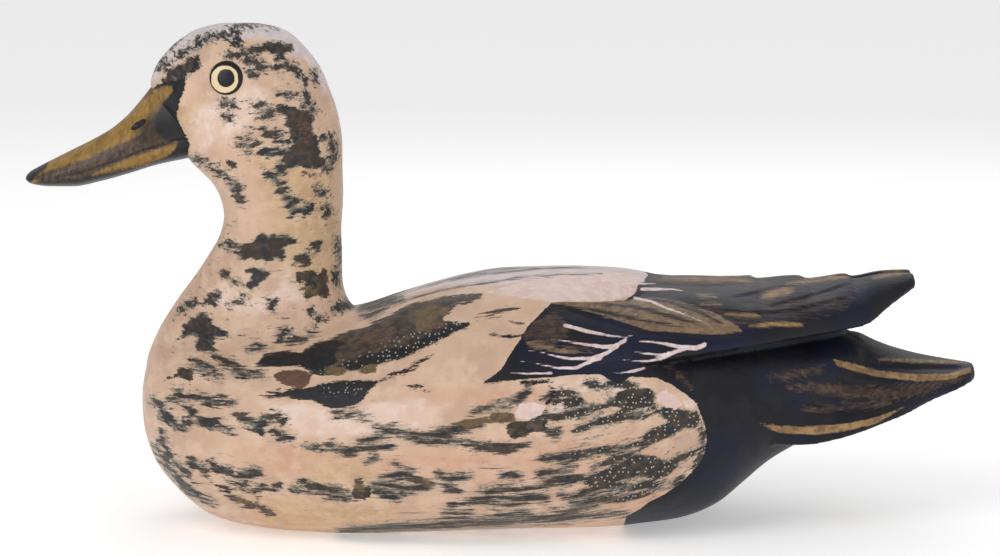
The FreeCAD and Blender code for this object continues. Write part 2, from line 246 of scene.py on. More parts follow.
def perVertex(mesh, name):
    flat = np.empty(len(mesh.vertices) * 3)
    mesh.vertices.foreach_get(name, flat)
    return flat.reshape(-1, 3)


def coordinates(mesh):
    return perVertex(mesh, "co") / mm


def vertexNormals(mesh):
    return perVertex(mesh, "normal")


def inDrawing(points):
    near = 1 + np.abs(points[:, 1]) / sideDrawing["reach"]
    up = points[:, 2] - sideDrawing["lean"] * np.abs(points[:, 1]) - sideDrawing["eyeLevel"]
    return np.stack([points[:, 0] * near, up * near + sideDrawing["eyeLevel"]], axis=1)


def pairs(flat):
    return np.reshape(flat, (-1, 2))


def lineDistance(places, line):
    # For each place: distance to the line, share of the way along it, and which side it is on.
    line = np.array(line, float)
    lengths = np.linalg.norm(np.diff(line, axis=0), axis=1)
    starts = np.concatenate([[0], np.cumsum(lengths)])
    best = np.full(len(places), 1e9)
    share = np.zeros(len(places))
    below = np.zeros(len(places))
    for i, length in enumerate(lengths):
        way = (line[i + 1] - line[i]) / length
        offset = places - line[i]
        t = np.clip(offset @ way, 0, length)
        gap = np.linalg.norm(offset - t[:, None] * way, axis=1)
        nearer = gap < best
        best[nearer] = gap[nearer]
        share[nearer] = (starts[i] + t[nearer]) / starts[-1]
        cross = way[0] * offset[:, 1] - way[1] * offset[:, 0]
        below[nearer] = -np.sign(cross[nearer])
    return best, share, below


def insideDistance(places, corners):
    # How far each place is inside the outline; negative outside.
    corners = np.array(corners, float)
    gap, _, _ = lineDistance(places, np.vstack([corners, corners[:1]]))
    inside = np.zeros(len(places), bool)
    for a, b in zip(corners, np.roll(corners, -1, axis=0)):
        crosses = (a[1] > places[:, 1]) != (b[1] > places[:, 1])
        rise = np.where(abs(b[1] - a[1]) < 1e-9, 1e-9, b[1] - a[1])
        inside ^= crosses & (places[:, 0] < (b[0] - a[0]) * (places[:, 1] - a[1]) / rise + a[0])
    return np.where(inside, gap, -gap)


# Feather edges, each (drop, run, then the line's places): the surface drops below the line and comes
# back over the run.
featherEdges = [
    (2.2, 12, 60, 65, 69, 67, 84, 69.5, 110, 73.8, 127, 76.8, 139, 79, 151, 80.8),
    (1.5, 6, 152, 69.5, 161, 66.5, 173.5, 65.2, 198, 65.6),
    (1.9, 8, 138, 61.6, 145, 59.3, 153, 57.8, 168.5, 57.3, 184, 58.4, 200, 61.2),
    (1.6, 8, 118, 52, 130.5, 48.6, 142.7, 47.6, 171, 48.4),
    (0.9, 7, 22, 92, 42, 86, 59, 81.2, 76, 78.7, 91, 77.5, 102, 79),
    (0.7, 6, 102, 79, 95, 83.8, 84, 88, 72, 92.4, 60, 95), (0.8, 7, 62, 101, 84, 100.5, 107, 100.8),
    (0.7, 8, 96, 95, 112, 98, 128, 101.5), (0.7, 8, 110, 91, 128, 95, 147, 101.5),
    (0.7, 8, 86, 90, 104, 88, 125, 90, 150, 96), (0.5, 5, 20.5, 92, 42, 92.8, 55, 94.5, 60, 98, 58, 101)]
handWork = {"waves": 0.35, "facet": 9.0, "swirl": (1.3, 0.8, 1.7), "fade": 0.12, "hollow": 1.4,
            "shoulder": 0.9, "flatBase": 6.0, "lookingDown": -0.35, "turningDown": 0.3}


def pushed(mesh, points, normals, depth):
    points += normals * depth[:, None]
    mesh.vertices.foreach_set("co", (points * mm).ravel())
    mesh.update()
    return mesh


def carve(mesh):
    points, normals = coordinates(mesh), vertexNormals(mesh)
    places = inDrawing(points)
    depth = np.zeros(len(points))
    # not on faces that look down
    facing = np.clip((normals[:, 2] - handWork["lookingDown"]) / handWork["turningDown"], 0, 1)
    for drop, run, *line in featherEdges:
        gap, share, below = lineDistance(places, pairs(line))
        fade = np.clip(np.minimum(share, 1 - share) / handWork["fade"], 0, 1)
        inReach = np.clip(1 - gap / run, 0, 1) ** handWork["hollow"]
        shoulder = np.clip(gap / handWork["shoulder"], 0, 1)
        depth += np.where(below > 0, -drop * inReach * shoulder, 0) * fade * facing
    along, across, up = (points[:, axis] / handWork["facet"] for axis in range(3))
    first, stretch, second = handWork["swirl"]
    waves = (np.sin(along + first * np.sin(up))
             * np.sin(up * stretch + second * np.sin(np.abs(across))))
    depth += handWork["waves"] * waves * np.clip(points[:, 2] / handWork["flatBase"], 0, 1)
    return pushed(mesh, points, normals, depth)


def duckSkin():
    blocks = joined([egg(), neck(), wing(1), wing(-1), tail(1), tail(-1)])
    skin = withModifiers(
        blocks, ("REMESH", {"mode": "VOXEL", "voxel_size": skinFinish["voxel"] * mm}),
        ("SMOOTH", {"factor": 0.5, "iterations": skinFinish["smoothing"]}))
    return carve(skin)


def sliced(skin):
    # The skin cut flat at the base, the board's seam and the neck's seat, as one mesh each.
    bm = bmesh.new()
    bm.from_mesh(skin)
    everything = bm.verts[:] + bm.edges[:] + bm.faces[:]
    bmesh.ops.bisect_plane(bm, geom=everything, dist=1e-7, plane_co=(0, 0, 0),
                           plane_no=(0, 0, 1), clear_inner=True)
    for level in (bodyShape["seam"], bodyShape["neckSeat"]):
        everything = bm.verts[:] + bm.edges[:] + bm.faces[:]
        bmesh.ops.bisect_plane(bm, geom=everything, dist=1e-7, plane_co=(0, 0, level * mm),
                               plane_no=(0, 0, 1))
    whole = bpy.data.meshes.new("whole")
    bm.to_mesh(whole)
    bm.free()
    pieces = {}
    for name in ("board", "shell", "head"):
        bm = bmesh.new()
        bm.from_mesh(whole)
        spare = []
        for face in bm.faces:
            middle = face.calc_center_median() / mm
            isHead = middle.z > bodyShape["neckSeat"] and middle.x < bodyShape["neckSeatBack"]
            isBoard = middle.z < bodyShape["seam"]
            part = "head" if isHead else "board" if isBoard else "shell"
            face.smooth = True
            if part != name:
                spare.append(face)
        bmesh.ops.delete(bm, geom=spare, context="FACES")
        rims = [e for e in bm.edges if e.is_boundary]
        for cap in bmesh.ops.holes_fill(bm, edges=rims, sides=0)["faces"]:
            cap.smooth = False
        bmesh.ops.recalc_face_normals(bm, faces=bm.faces)
        pieces[name] = bpy.data.meshes.new(name)
        bm.to_mesh(pieces[name])
        bm.free()
    return pieces


def cutAway(mesh, cutter):
    tool = showPiece("tool", cutter)
    result = withModifiers(mesh, ("BOOLEAN", {"operation": "DIFFERENCE", "solver": "EXACT",
                                              "object": tool}))
    bpy.data.objects.remove(tool)
    return result


def prism(outline, low, high):
    # A closed upright block over an outline.
    rings = [np.array([(x, y, z) for x, y in outline]) for z in (low, high)]
    return outward(ringsMesh("prism", rings))


def circle(x, y, radius, count=40):
    return [(x + radius * math.cos(a), y + radius * math.sin(a))
            for a in np.linspace(0, 2 * np.pi, count, endpoint=False)]


seamShading = {"sharpFrom": 55.0, "band": 2.0, "reach": 0.4, "alike": 0.6}


def keepSkinShading(mesh, skin):
    # Pieces cut from one skin shade as one: near the cuts they take the skin's own normals.
    tree = BVHTree.FromPolygons([v.co for v in skin.vertices],
                                [tuple(p.vertices) for p in skin.polygons])
    skinNormals = vertexNormals(skin)
    mesh.set_sharp_from_angle(angle=math.radians(seamShading["sharpFrom"]))
    near = {}
    for vertex in mesh.vertices:
        height = vertex.co.z / mm
        away = min(abs(height - bodyShape["seam"]), abs(height - bodyShape["neckSeat"]))
        if away > seamShading["band"]:
            continue
        spot, _, index, _ = tree.find_nearest(vertex.co, seamShading["reach"] * mm)
        if spot is None:
            continue
        corners = skin.polygons[index].vertices
        weights = [1 / ((skin.vertices[c].co - spot).length + 1e-6) for c in corners]
        total = sum(skinNormals[c] * w for c, w in zip(corners, weights))
        near[vertex.index] = Vector(total).normalized()
    custom = [(0.0, 0.0, 0.0)] * len(mesh.loops)
    for face in mesh.polygons:
        flat = abs(face.normal.z) > 0.999 and not face.use_smooth
        for loop in face.loop_indices:
            index = mesh.loops[loop].vertex_index
            if index in near and not flat and near[index].dot(face.normal) > seamShading["alike"]:
                custom[loop] = tuple(near[index])
    mesh.normals_split_custom_set(custom)


# What is let into the underside: the line tie's pocket, the weight's recess and the plug holes.
underside = {
    "pocket": {"x": -84.0, "radius": 13.0, "depth": 19.0, "around": 64},
    "recess": {"x": -12.0, "length": 84.0, "width": 34.0, "depth": 8.4, "around": 72, "turned": 0.05},
    "plugs": [(-122, 0), (-72, 43), (-72, -43), (22, 43), (22, -43), (86, 0)],
    "plugRadius": 5.05, "plugDepth": 13.0,
    "below": -20.0,        # the cutters start well under the base
    "wall": 24.0, "hollow": (-115.0, 78.0),
}


def boardCuts():
    pocket, recess, below = underside["pocket"], underside["recess"], underside["below"]
    cuts = [prism(circle(pocket["x"], 0, pocket["radius"], pocket["around"]), below, pocket["depth"])]
    radius = recess["width"] / 2
    straight = (recess["length"] - recess["width"]) / 2
    # turned a little, so that no corner lies where the straight sides meet the round ends
    angles = np.linspace(recess["turned"], 2 * np.pi + recess["turned"], recess["around"],
                         endpoint=False)
    ends = [(recess["x"] + math.copysign(straight, math.cos(a)) + radius * math.cos(a),
             radius * math.sin(a)) for a in angles]
    cuts.append(prism(ends, below, recess["depth"]))
    for x, y in underside["plugs"]:
        cuts.append(prism(circle(x, y, underside["plugRadius"]), below, underside["plugDepth"]))
    return joined(cuts)


# Paint by layer. An outline is filled: (strength, then its corners as along, up, along, up ...).
# A line is a brush stroke: (half width, strength, then its places). Ground is loose streaks all over:
# (lowest up, highest up, first along, last along, strength). A strength near 0.5 leaves a broken,
# dry-brushed mark, and one near 1 a solid one.
paintLayers = {
    "ink": {"reach": 4,
     "ground": [(60, 130, -150, -70, 0.22)],
     "outlines": [
        # lore, crown and the patches behind the eye
        (0.68, -143.8, 182.6, -141.7, 185.2, -140.5, 188.6, -138.8, 191.2, -135.4, 192, -132.9, 193.7,
         -131.2, 196, -127, 196, -127, 191.2, -129.5, 190, -132, 188.6, -132.4, 187, -135.4, 186.4,
         -141.3, 183.5),
        (0.7, -108.8, 198.4, -105, 199.7, -100.7, 201, -97.4, 202.3, -93, 201.8, -88, 200.6,
         -87.6, 198.8, -90.6, 197.6, -91.5, 195.4, -93, 193.7, -95.3, 194.6, -94, 197, -98.2, 198.4,
         -102.4, 198, -105.8, 196.7, -108.3, 195.4, -109.6, 197),
        (0.72, -108, 190, -104.5, 190.7, -102, 189.5, -102.4, 187, -105.4, 187.3),
        # cheek
        (0.84, -98.2, 175.4, -93, 175.8, -88, 175, -84.7, 173.7, -80.5, 172.8, -79.2, 170.7, -80, 167.7,
         -79.6, 164.7, -78, 162, -77, 158.3, -76.2, 153.6, -74, 152, -75.4, 149.3, -79.6, 149.3,
         -84.7, 150.2, -89, 149.3, -92, 151.5, -92.3, 153.6, -91, 156.2, -87.2, 157.5, -87.6, 160.4,
         -89.3, 162, -89, 165.6, -91, 168, -90.2, 170.7, -94, 172.8),
        # neck
        (0.76, -113, 113.5, -110, 114.4, -108.8, 116.5, -105, 117, -103.3, 119.5, -101.6, 121.6,
         -100, 121.2, -99, 119.5, -95.7, 120, -92.3, 120.3, -89, 119.5, -86.8, 118.2, -90.6, 117.3,
         -92.3, 115.6, -91.5, 111.8, -93, 109.7, -94.8, 111.4, -98.2, 110.5, -102.4, 110.5,
         -105.8, 111.4, -108.8, 110.5, -111, 111.8),
        (0.8, -107.5, 99.4, -105.8, 101.6, -105.8, 104.5, -108.3, 105, -105, 106.2, -100.7, 105.8,
         -98.2, 104.5, -100.7, 102, -103.3, 100, -105.8, 97.3, -109, 99.4),
        (0.74, -81, 114.4, -80, 117.8, -76.7, 118.6, -76.2, 115.6, -78, 114),
        (0.74, -88, 108, -87.6, 111, -85.5, 112.6, -82.6, 112.6, -78.8, 112.2, -81, 110.5, -81.3, 108,
         -84, 108, -86.4, 109.2),
        # breast
        (0.68, -134.8, 79, -134.8, 81.5, -133, 84, -130, 85.3, -127.4, 87.3, -124.4, 87, -123.6, 84.5,
         -121.5, 81.5, -116.8, 79.4, -115, 77.2, -120.2, 77.7, -122.3, 76.8, -122.3, 71.7, -125.7, 71.3,
         -129.5, 71.7, -129.5, 74.7, -128.2, 76.8, -131.2, 78.5, -135.4, 77.2, -138, 75.5)],
     "lines": [
        # forehead and crown
        (0.8, 0.57, -145, 191.2, -142.6, 193, -139.6, 193.7),
        (0.6, 0.6, -140.5, 199.7, -138, 201.4, -135.4, 203.5), (0.7, 0.6, -135.4, 197, -132, 198),
        (1.1, 0.66, -129, 199.7, -127, 201.8, -124, 203.5, -120.6, 204.4),
        (0.9, 0.64, -122, 204.4, -117.6, 205.2, -114.3, 204.8, -111.7, 206.5),
        (0.6, 0.58, -114.3, 207, -110, 209, -105.8, 210, -99.5, 210.3, -95.3, 209.5),
        (1.1, 0.64, -112.6, 203.5, -109.6, 201.8),
        # round the eye and behind it
        (0.8, 0.64, -115.5, 196, -112, 197, -108.8, 197),
        (1.4, 0.62, -108.3, 194.6, -105, 193.7, -101.6, 192.4, -99, 191.2),
        (1.2, 0.72, -96.5, 191.2, -92.3, 191.6, -88, 192, -85.5, 189.5, -83.4, 187, -82.6, 185.2),
        (0.8, 0.62, -79.2, 188.6, -78, 186),
        (1.2, 0.7, -83, 181, -81.3, 179.2, -81, 176.2, -78.8, 173.7),
        (0.6, 0.6, -92.7, 181, -89, 180, -85, 179.6),
        # cheek streaks
        (0.9, 0.58, -118.5, 175, -116, 176.2, -111.7, 176.2), (0.8, 0.53, -117, 171.5, -113.5, 170.6),
        (0.8, 0.62, -104.5, 175, -100.7, 175.8, -96.5, 175),
        (1, 0.6, -102.4, 172.8, -99, 172, -94.8, 172.4),
        (0.9, 0.62, -100.7, 166.4, -98.2, 164.3, -94.8, 163, -91, 163),
        (1, 0.64, -95.3, 161.3, -92, 160.4, -89, 158.7),
        (1.4, 0.62, -101.6, 156.2, -98.2, 155.8, -94.8, 155.8, -91.5, 155.8),
        (2.4, 0.46, -110, 160, -104, 159.6),
        (1.2, 0.7, -75.4, 162, -72, 162, -71.2, 159.2, -70.8, 155, -72, 151, -74, 148.5),
        # chin and throat
        (0.8, 0.7, -131.2, 153.6, -127.8, 152.8, -125.2, 152),
        (0.5, 0.68, -125.2, 150.6, -121, 148.5, -116.8, 146.4, -114.3, 144.2, -112.6, 141.7),
        (1.2, 0.6, -112.6, 144, -111.3, 139, -110, 135),
        (1.2, 0.64, -99.5, 147.2, -95.7, 145, -93, 143), (1.2, 0.66, -94, 150, -92, 147),
        (1.2, 0.7, -95, 144, -93, 140.5, -92.7, 138), (1.8, 0.68, -92, 137, -89.3, 135.7, -86, 134.5),
        (1.4, 0.62, -90, 133.5, -87.5, 130.5, -84.7, 131.4, -80, 132.3),
        (1, 0.6, -74, 133.6, -73, 131.4, -74, 129.3), (1.1, 0.57, -78, 140, -74.5, 137.8),
        # neck and its base
        (1.3, 0.64, -118, 117.3, -114.3, 115.6, -112, 114.8), (1.2, 0.66, -117.6, 105, -115.6, 102.8),
        (0.9, 0.62, -114, 101, -112.6, 100.7), (1.3, 0.76, -125.7, 92.2, -122.3, 93, -119.3, 96),
        (0.9, 0.72, -115, 91.7, -111.7, 92.6, -107.5, 94),
        (1.4, 0.72, -99, 91, -97.4, 90.5, -95.7, 92.2),
        (0.8, 0.6, -135.4, 88.3, -133, 90.5, -130.7, 93),
        (1.7, 0.74, -71.6, 89, -69, 90, -65.3, 91, -62.7, 91.7), (0.7, 0.68, -69, 118.6, -68.6, 110),
        (0.8, 0.72, -70, 107, -70, 99), (0.5, 0.6, -81, 88, -78.8, 85.8, -75.4, 85),
        (0.9, 0.66, -94.8, 76, -92.3, 79.4, -89.3, 80.2), (0.8, 0.72, -91, 75, -87.6, 76, -84, 76),
        (0.5, 0.62, -81.3, 79, -79.2, 80.2), (0.8, 0.7, -107.5, 72.5, -104, 73, -100.7, 72.5),
        # breast and front flank
        (1.1, 0.66, -122.7, 71.7, -121, 68.3, -117.6, 66.6, -113.8, 65, -111.3, 62, -105.8, 61.4,
         -100.7, 60.6),
        (1.6, 0.52, -131, 66, -126, 64, -121, 61),
        (1.5, 0.7, -148.5, 50, -145.5, 48.2, -143.8, 44.8, -141, 41.8, -138, 39.3, -135.4, 38.8,
         -132.4, 41.8, -131.2, 44.4, -133.7, 46.5),
        (1.3, 0.7, -131.2, 43.5, -128.2, 41.4, -124.4, 40, -120.6, 39.7, -115, 37),
        (1, 0.68, -141.3, 50.4, -137.5, 50.8, -133.7, 52, -128.6, 51.2, -123.6, 49.5, -118.5, 50,
         -113, 48.2),
        (1, 0.62, -138.8, 54.6, -135.4, 53),
        (1.7, 0.68, -112.6, 44.4, -108.8, 42.2, -105, 40, -102.4, 36.7),
        (1.2, 0.62, -104, 40.5, -99, 42.2, -94.4, 43.5, -92, 42.2),
        (1.4, 0.64, -97.4, 37.6, -94, 35.8, -89.3, 33.7),
        (1.5, 0.72, -124, 23, -121, 20.5, -117.6, 20, -114.3, 18.3),
        (1.9, 0.72, -112.6, 17.5, -108.3, 18, -103.3, 19.2), (0.8, 0.62, -133.3, 24, -131.2, 21.3),
        (0.8, 0.6, -127.4, 21.3, -125.7, 18),
        (0.9, 0.62, -116.8, 15, -110, 13.2, -105, 12, -95.3, 12.8),
        (1.2, 0.62, -147.2, 30.7, -144.7, 25.6, -141.3, 21.3, -138.8, 17, -134.5, 12.4, -129, 8.5,
         -123.6, 5.5),
        (0.8, 0.6, -144.7, 36.3, -143.8, 31.2, -142, 26.5, -138.8, 23.5, -135.4, 19.6, -132, 15.4)]},
    "streak": {"reach": 4,
     "ground": [(-6, 50, 10, 84, 0.26), (-6, 30, -152, 14, 0.22), (110, 175, -78, -60, 0.24),
        (94, 112, -62, 62, 0.1)],
     "outlines": [
        # dark bars between the pale scallops of the rear flank
        (0.74, 22.2, 51.2, 27.7, 50.8, 33.6, 51.6, 35.7, 49.5, 32.7, 47, 25, 46.5, 21.7, 48.2),
        (0.8, 49.2, 54.2, 54.7, 55.5, 61, 55.5, 64, 53.8, 65.3, 51.2, 63, 47.8, 59, 46.5, 52.6, 46.5,
         47, 48.2, 43.7, 46.5, 38.6, 45.2, 42, 48.6, 47, 51.2),
        (0.78, 65.3, 45.2, 70.8, 49.5, 75.8, 46, 82.2, 45.2, 84, 42.7, 82.6, 38.4, 77.5, 38.4, 74, 36.7,
         69, 34, 64, 32.4, 59, 33.3, 61, 35.8, 67.4, 38.4, 70.8, 41.8, 67.4, 43.5),
        (0.8, 33.6, 15.8, 38.6, 18, 44, 20.5, 50.5, 23.5, 55.5, 25.6, 62.3, 26.5, 67.4, 25.2,
         72.4, 23.5, 75.8, 23, 72.4, 20.5, 70.8, 18, 65.3, 16.2, 61, 18, 54.7, 16.6, 47, 15, 42, 12.4,
         37.8, 12.8)],
     "lines": [
        (1.3, 0.68, 17, 50, 21.7, 51.6, 26, 53.3, 29.4, 52, 32.7, 50.4),
        (1.2, 0.66, 16.7, 44, 21, 43, 25, 44.4, 31.5, 44.8, 37.8, 46.5, 44, 48.6, 48.4, 51.2),
        (1.6, 0.7, 31.5, 37.6, 37, 39.7, 42, 41.4, 48.4, 43, 55.5, 44.4, 61, 44.8, 65.3, 45.7),
        (1.1, 0.74, 16.7, 25.6, 23, 25.6, 29.4, 26.5, 37.8, 27.3, 46.3, 28.6, 52.6, 30, 59, 32,
         65.3, 34.6, 70.8, 37.6),
        (0.8, 0.68, 84, 41.8, 85.5, 36.7, 85.5, 31.2, 84, 25.6, 81.3, 21.3),
        (1, 0.72, 84.3, 29.4, 80, 27, 75.8, 25.2, 70.8, 24),
        (1.1, 0.68, 16.7, 13.2, 23, 15, 28.5, 15.8, 34.4, 16.2),
        (0.9, 0.62, 37.8, 20.5, 43.7, 23, 49.6, 25.2, 55.5, 27),
        (1.2, 0.68, 25, 9, 31.5, 9, 37.8, 10.7, 44, 12.4, 52.6, 13.2, 61, 13.7, 67.4, 12.8, 72.4, 14.5,
         75.8, 16.2),
        (1, 0.68, 29.4, 6.4, 35.7, 6.4, 42, 7.7, 50.5, 7.7, 59, 9.4, 64.8, 9.8),
        (1, 0.68, 21.7, 2.6, 27.2, 1.7, 33.6, 3.8, 40, 4.7),
        (1.3, 0.7, 16.7, 18.8, 21.7, 18.3, 27.2, 19.6, 31.5, 20.5),
        (1.5, 0.6, 18.8, 37.6, 21.7, 35.8, 24, 37.6), (1, 0.6, 46, 57.6, 51, 56.4, 57, 56.4),
        (0.8, 0.54, 36, 58, 45, 53.6),
        # middle of the flank
        (1.2, 0.66, -83.4, 30.3, -79.6, 30.3, -74, 30, -69, 29.4, -63.6, 29, -60.2, 30, -56.8, 30,
         -52.6, 30.3, -46.7, 30.7),
        (0.9, 0.66, -56.8, 29, -53.4, 27.3, -53.4, 26, -57.7, 23.5),
        (1, 0.7, -60.6, 33, -56, 33.3, -53.4, 35, -50, 36.3, -44.6, 37, -38.2, 36.3, -32, 35,
         -25.6, 34.6, -20.5, 33, -16.3, 31.6, -10.8, 30.7, -0.2, 30.3, 10.4, 30.7),
        (1, 0.66, -42.5, 34.6, -37.4, 34, -32, 33.3, -23.4, 32.4, -19.2, 31.6),
        (1.5, 0.7, -32, 35.8, -25.6, 36.3, -19.2, 37.6, -15, 38.8, -9.5, 40.5),
        (0.9, 0.62, -12, 45.2, -6, 46.6, 2, 47.2, 8, 51, 11, 55),
        (1.2, 0.66, 12, 43, 18, 43.6, 26, 42.6), (0.7, 0.6, -45.8, 23.5, -42.5, 21.3, -37.4, 20.5),
        (0.6, 0.58, -51.7, 17, -44.6, 18, -38.2, 17.5, -35, 16.2),
        (1.5, 0.66, -55, 13.7, -51, 14, -45.8, 13.2, -42.5, 11.5, -37.4, 12.4, -29.8, 14.5),
        (1.1, 0.62, -52.6, 10.7, -47.5, 10, -45, 7.7),
        (1.3, 0.66, -27.2, 18.3, -23.4, 16.2, -19.2, 17.5, -13, 17.5),
        (1.4, 0.66, -25.6, 14, -21.3, 13.2, -18.4, 11.5),
        (1.2, 0.62, -89, 12.4, -84.7, 12.8, -78.4, 12, -72, 11, -65.7, 9.8),
        (1, 0.56, -75.4, 10.2, -70, 9, -63.6, 8.5), (0.8, 0.72, -1.5, 17, 3.2, 17.5, 8.2, 17.5),
        (0.9, 0.68, -9.5, 12, -4.4, 11.5, 2, 12.4, 6, 11.5, 12.5, 12.4, 20, 13.2),
        (0.8, 0.68, -6, 9.4, -0.2, 8, 6, 7.7, 12.5, 8.5, 18.8, 8),
        (1, 0.68, -21.8, 4.7, -16.3, 5.5, -9.5, 6.8, -0.2, 6.4, 6, 5.5, 10.3, 6.4),
        (0.6, 0.62, -25, 1.3, -19.2, 1.3, -13, 1.7), (0.9, 0.7, -2, 0, 5, 0, 12.5, 1),
        (1.2, 0.62, 16.7, 26, 20, 24.3), (1.2, 0.68, 15.4, 18.3, 18.8, 18.8),
        (0.5, 0.5, -70.5, 43.5, -63, 44.5, -55, 42),
        (1.2, 0.66, -70, -6.6, -50, -5, -18.4, -3.4, 6, -1.6, 30.2, -0.4, 53, 1.2),
        # back
        (0.9, 0.68, -60.6, 89.2, -56, 90, -51, 91.7, -42.5, 93.4),
        (0.7, 0.64, -59.3, 86.6, -56, 86.2, -52.6, 88, -48.8, 89.6)]},
    "umber": {"reach": 3, "outlines": [
        # dark band over the folded wing
        (0.84, -105, 65, -103.3, 67.4, -101.6, 69.6, -98.2, 71, -93, 71.2, -84.7, 71, -81.3, 73,
         -79.6, 74.7, -76.2, 75.5, -71.2, 77.2, -67.8, 79.4, -63.6, 80.7, -56.8, 82, -54.3, 84, -51, 85,
         -46.7, 87, -42.5, 89.2, -39, 91.3, -36, 92.2, -29.8, 93.2, -23.4, 94.7, -17, 95.6, -8.7, 96,
         -8.7, 94.5, -13, 92, -19.2, 91, -21.8, 88.3, -25, 86, -24, 84, -13.7, 83, -17, 81, -24, 77.2,
         -29.8, 74.7, -34, 72.5, -42.5, 69, -51, 66.6, -59.3, 65.3, -64, 62.5, -69, 61.8, -76.2, 60.6,
         -81, 62, -84.7, 64.6, -93, 64.4, -101.6, 64.2),
        (0.9, -138.3, 62.3, -137, 64, -134.5, 64.4, -131.2, 63.2, -130.7, 59.7, -132.4, 57.2, -134, 59,
         -137, 60.2, -141.7, 59, -143.4, 58.5, -141.3, 60.2, -138.8, 60.6),
        (0.82, -87.2, 105, -83.4, 105, -80, 105.8, -78, 104, -75.4, 106.7, -73.7, 105, -74, 101.6,
         -73.3, 97.3, -73, 94.7, -75, 93, -78, 95.2, -82.2, 93.4, -84.3, 94.7, -83, 98.2, -83.4, 100.7,
         -86.8, 101),
        (0.8, -116.4, 152.8, -113.4, 152.3, -111.3, 150.6, -111.7, 148.5, -113.8, 149, -115.5, 150.6),
        (0.74, -62.7, 16.2, -59, 16.2, -58.5, 13.7, -56, 13.7, -56, 9, -58.5, 6.4, -62.3, 7.7,
         -64.8, 10.7, -62.7, 13.2),
        (0.78, 4.9, 41.4, 9, 41, 15, 41.4, 18.8, 42.7, 18.8, 37.6, 12.5, 36.7, 10.3, 34.6, 4.9, 33,
         2.3, 35.8, 1, 38.4),
        (0.64, -8, 31.2, 11.6, 31.2, 6, 29, 2, 27.3, -4.4, 27.7)],
     "lines": [
        (0.7, 0.6, -10, 85.6, -2, 88, 6, 89.4),
        (1.5, 0.74, -121.4, 13.7, -117.6, 11.5, -115, 8.5, -111.7, 7.3, -108.3, 5, -105, 5, -103.3, 8),
        (1.4, 0.74, -104, 4.7, -100, 2, -96.5, 1.3)]},
    "pitch": {"reach": 3, "outlines": [
        # black round the bill's root
        (1, -150, 181, -141.7, 185.4, -135, 186.4, -132.4, 187, -132.8, 183, -134.2, 179.5, -135.6, 176,
         -136.6, 171.8, -134.8, 166.8, -132, 161.5, -131, 158.6, -132.6, 155.6, -138, 151.6, -150, 150),
        # blue-black wedge below the wing
        (0.78, -92.3, 55, -83.4, 55.5, -77, 57.4, -67.8, 58.5, -57.2, 58.5, -53, 58.8, -53.5, 56.8,
         -56.8, 53.8, -58.5, 51.2, -60.6, 49, -67, 47, -72, 46.5, -76.2, 47.8, -80.5, 50, -89, 51.2,
         -93, 51.8),
        # front of the dark band
        (0.74, -103, 66.5, -100, 69.3, -93, 70.6, -85, 70.6, -80, 73.4, -70, 76, -66, 75, -71, 71,
         -70, 67, -74, 62.6, -80, 63, -86, 65, -94, 65, -101, 65)],
     "lines": [
        (0.9, 0.8, -130.4, 189, -128.3, 192, -127.8, 195.6),
        (2.4, 0.78, -74, 62.4, -64, 65.2, -55, 67.6, -46, 70, -38, 72.4, -30, 76.6, -24, 79.8,
         -15, 82.6),
        (0.7, 0.72, -53, 58.6, -46, 61, -40.5, 62.8, -37, 65, -34, 66.6, -29.8, 69.5),
        (1.2, 0.56, -101, 52, -92, 53.4), (0.5, 0.64, -42, 56.6, -36, 55.6, -31, 55.2),
        (0.8, 0.66, 8, 57.6, 16, 58.8, 22, 58.2), (0.8, 0.62, 18, 46, 21, 52, 20.6, 59)]},
    "navy": {"reach": 3, "outlines": [
        # speculum, rump, tail and everything behind the flank
        (1, -7.8, 58, -0.2, 63.6, 4, 70.8, 7.4, 76, 11.2, 82.4, 16.7, 87.8, 21.3, 92.2, 42, 92, 52, 93,
         56.4, 96, 57.4, 99.5, 60, 101.5, 62, 104, 63, 112, 182, 115, 212, 75, 212, 45, 84, -20,
         50, -12, 53, 0, 59, 3.4, 63, 6.4, 69.5, 9.8, 76, 14.4, 80.5, 19, 83.6, 22.6, 85.8, 27,
         87, 33.3, 86, 39.7, 84.3, 44, 82.6, 48.6, 78, 52.6, 72.4, 56.6, 65, 60, 54, 60.2, 50, 57.4,
         47, 58, 42, 61.4, 30, 61.2, 20, 60)],
     "lines": [
        (0.6, 0.7, 8, 78, 2, 77.5, -6, 78.5), (0.5, 0.66, 9, 83, 3, 84),
        (0.5, 0.7, -8, 58, 0, 59, 12, 60)]},
    "sepia": {"reach": 3, "outlines": [
        (0.6, 9, 78, 14, 84, 22, 88, 27, 84, 28, 78, 22, 74, 14, 73, 10, 75),
        (0.42, 100, 82, 130, 84, 146, 90, 150, 98, 120, 94, 100, 90)],
     "lines": [
        (2.4, 0.66, 122, 56.4, 136, 55, 150, 53.6, 168, 53.4, 182, 55.8, 194, 59.4),
        (1, 0.54, 114, 60, 124, 61, 136, 63.6), (0.8, 0.54, 69.5, 65, 76, 61, 80, 55),
        (0.8, 0.56, 128, 46.6, 146, 46.8, 164, 49.4), (1.6, 0.5, 60, 93, 75, 90, 95, 86, 110, 84),
        (1.4, 0.5, 64, 101.5, 90, 100.6, 118, 99)]},
    "khaki": {"reach": 2.5, "outlines": [
        # the long leaf-shaped feather
        (0.8, 21, 91.7, 29.4, 90.5, 37.8, 88, 42, 86.2, 50.5, 84, 59, 81, 67.4, 79.8, 75.8, 79,
         84.3, 78.3, 92.7, 79, 98.2, 79.4, 101.6, 79.8, 99, 82.4, 92.7, 86.2, 84.3, 89.6, 75.8, 92.4,
         69.5, 93.6, 63, 94, 56.4, 93.4, 42, 92.4, 25, 92.4)],
     "lines": [
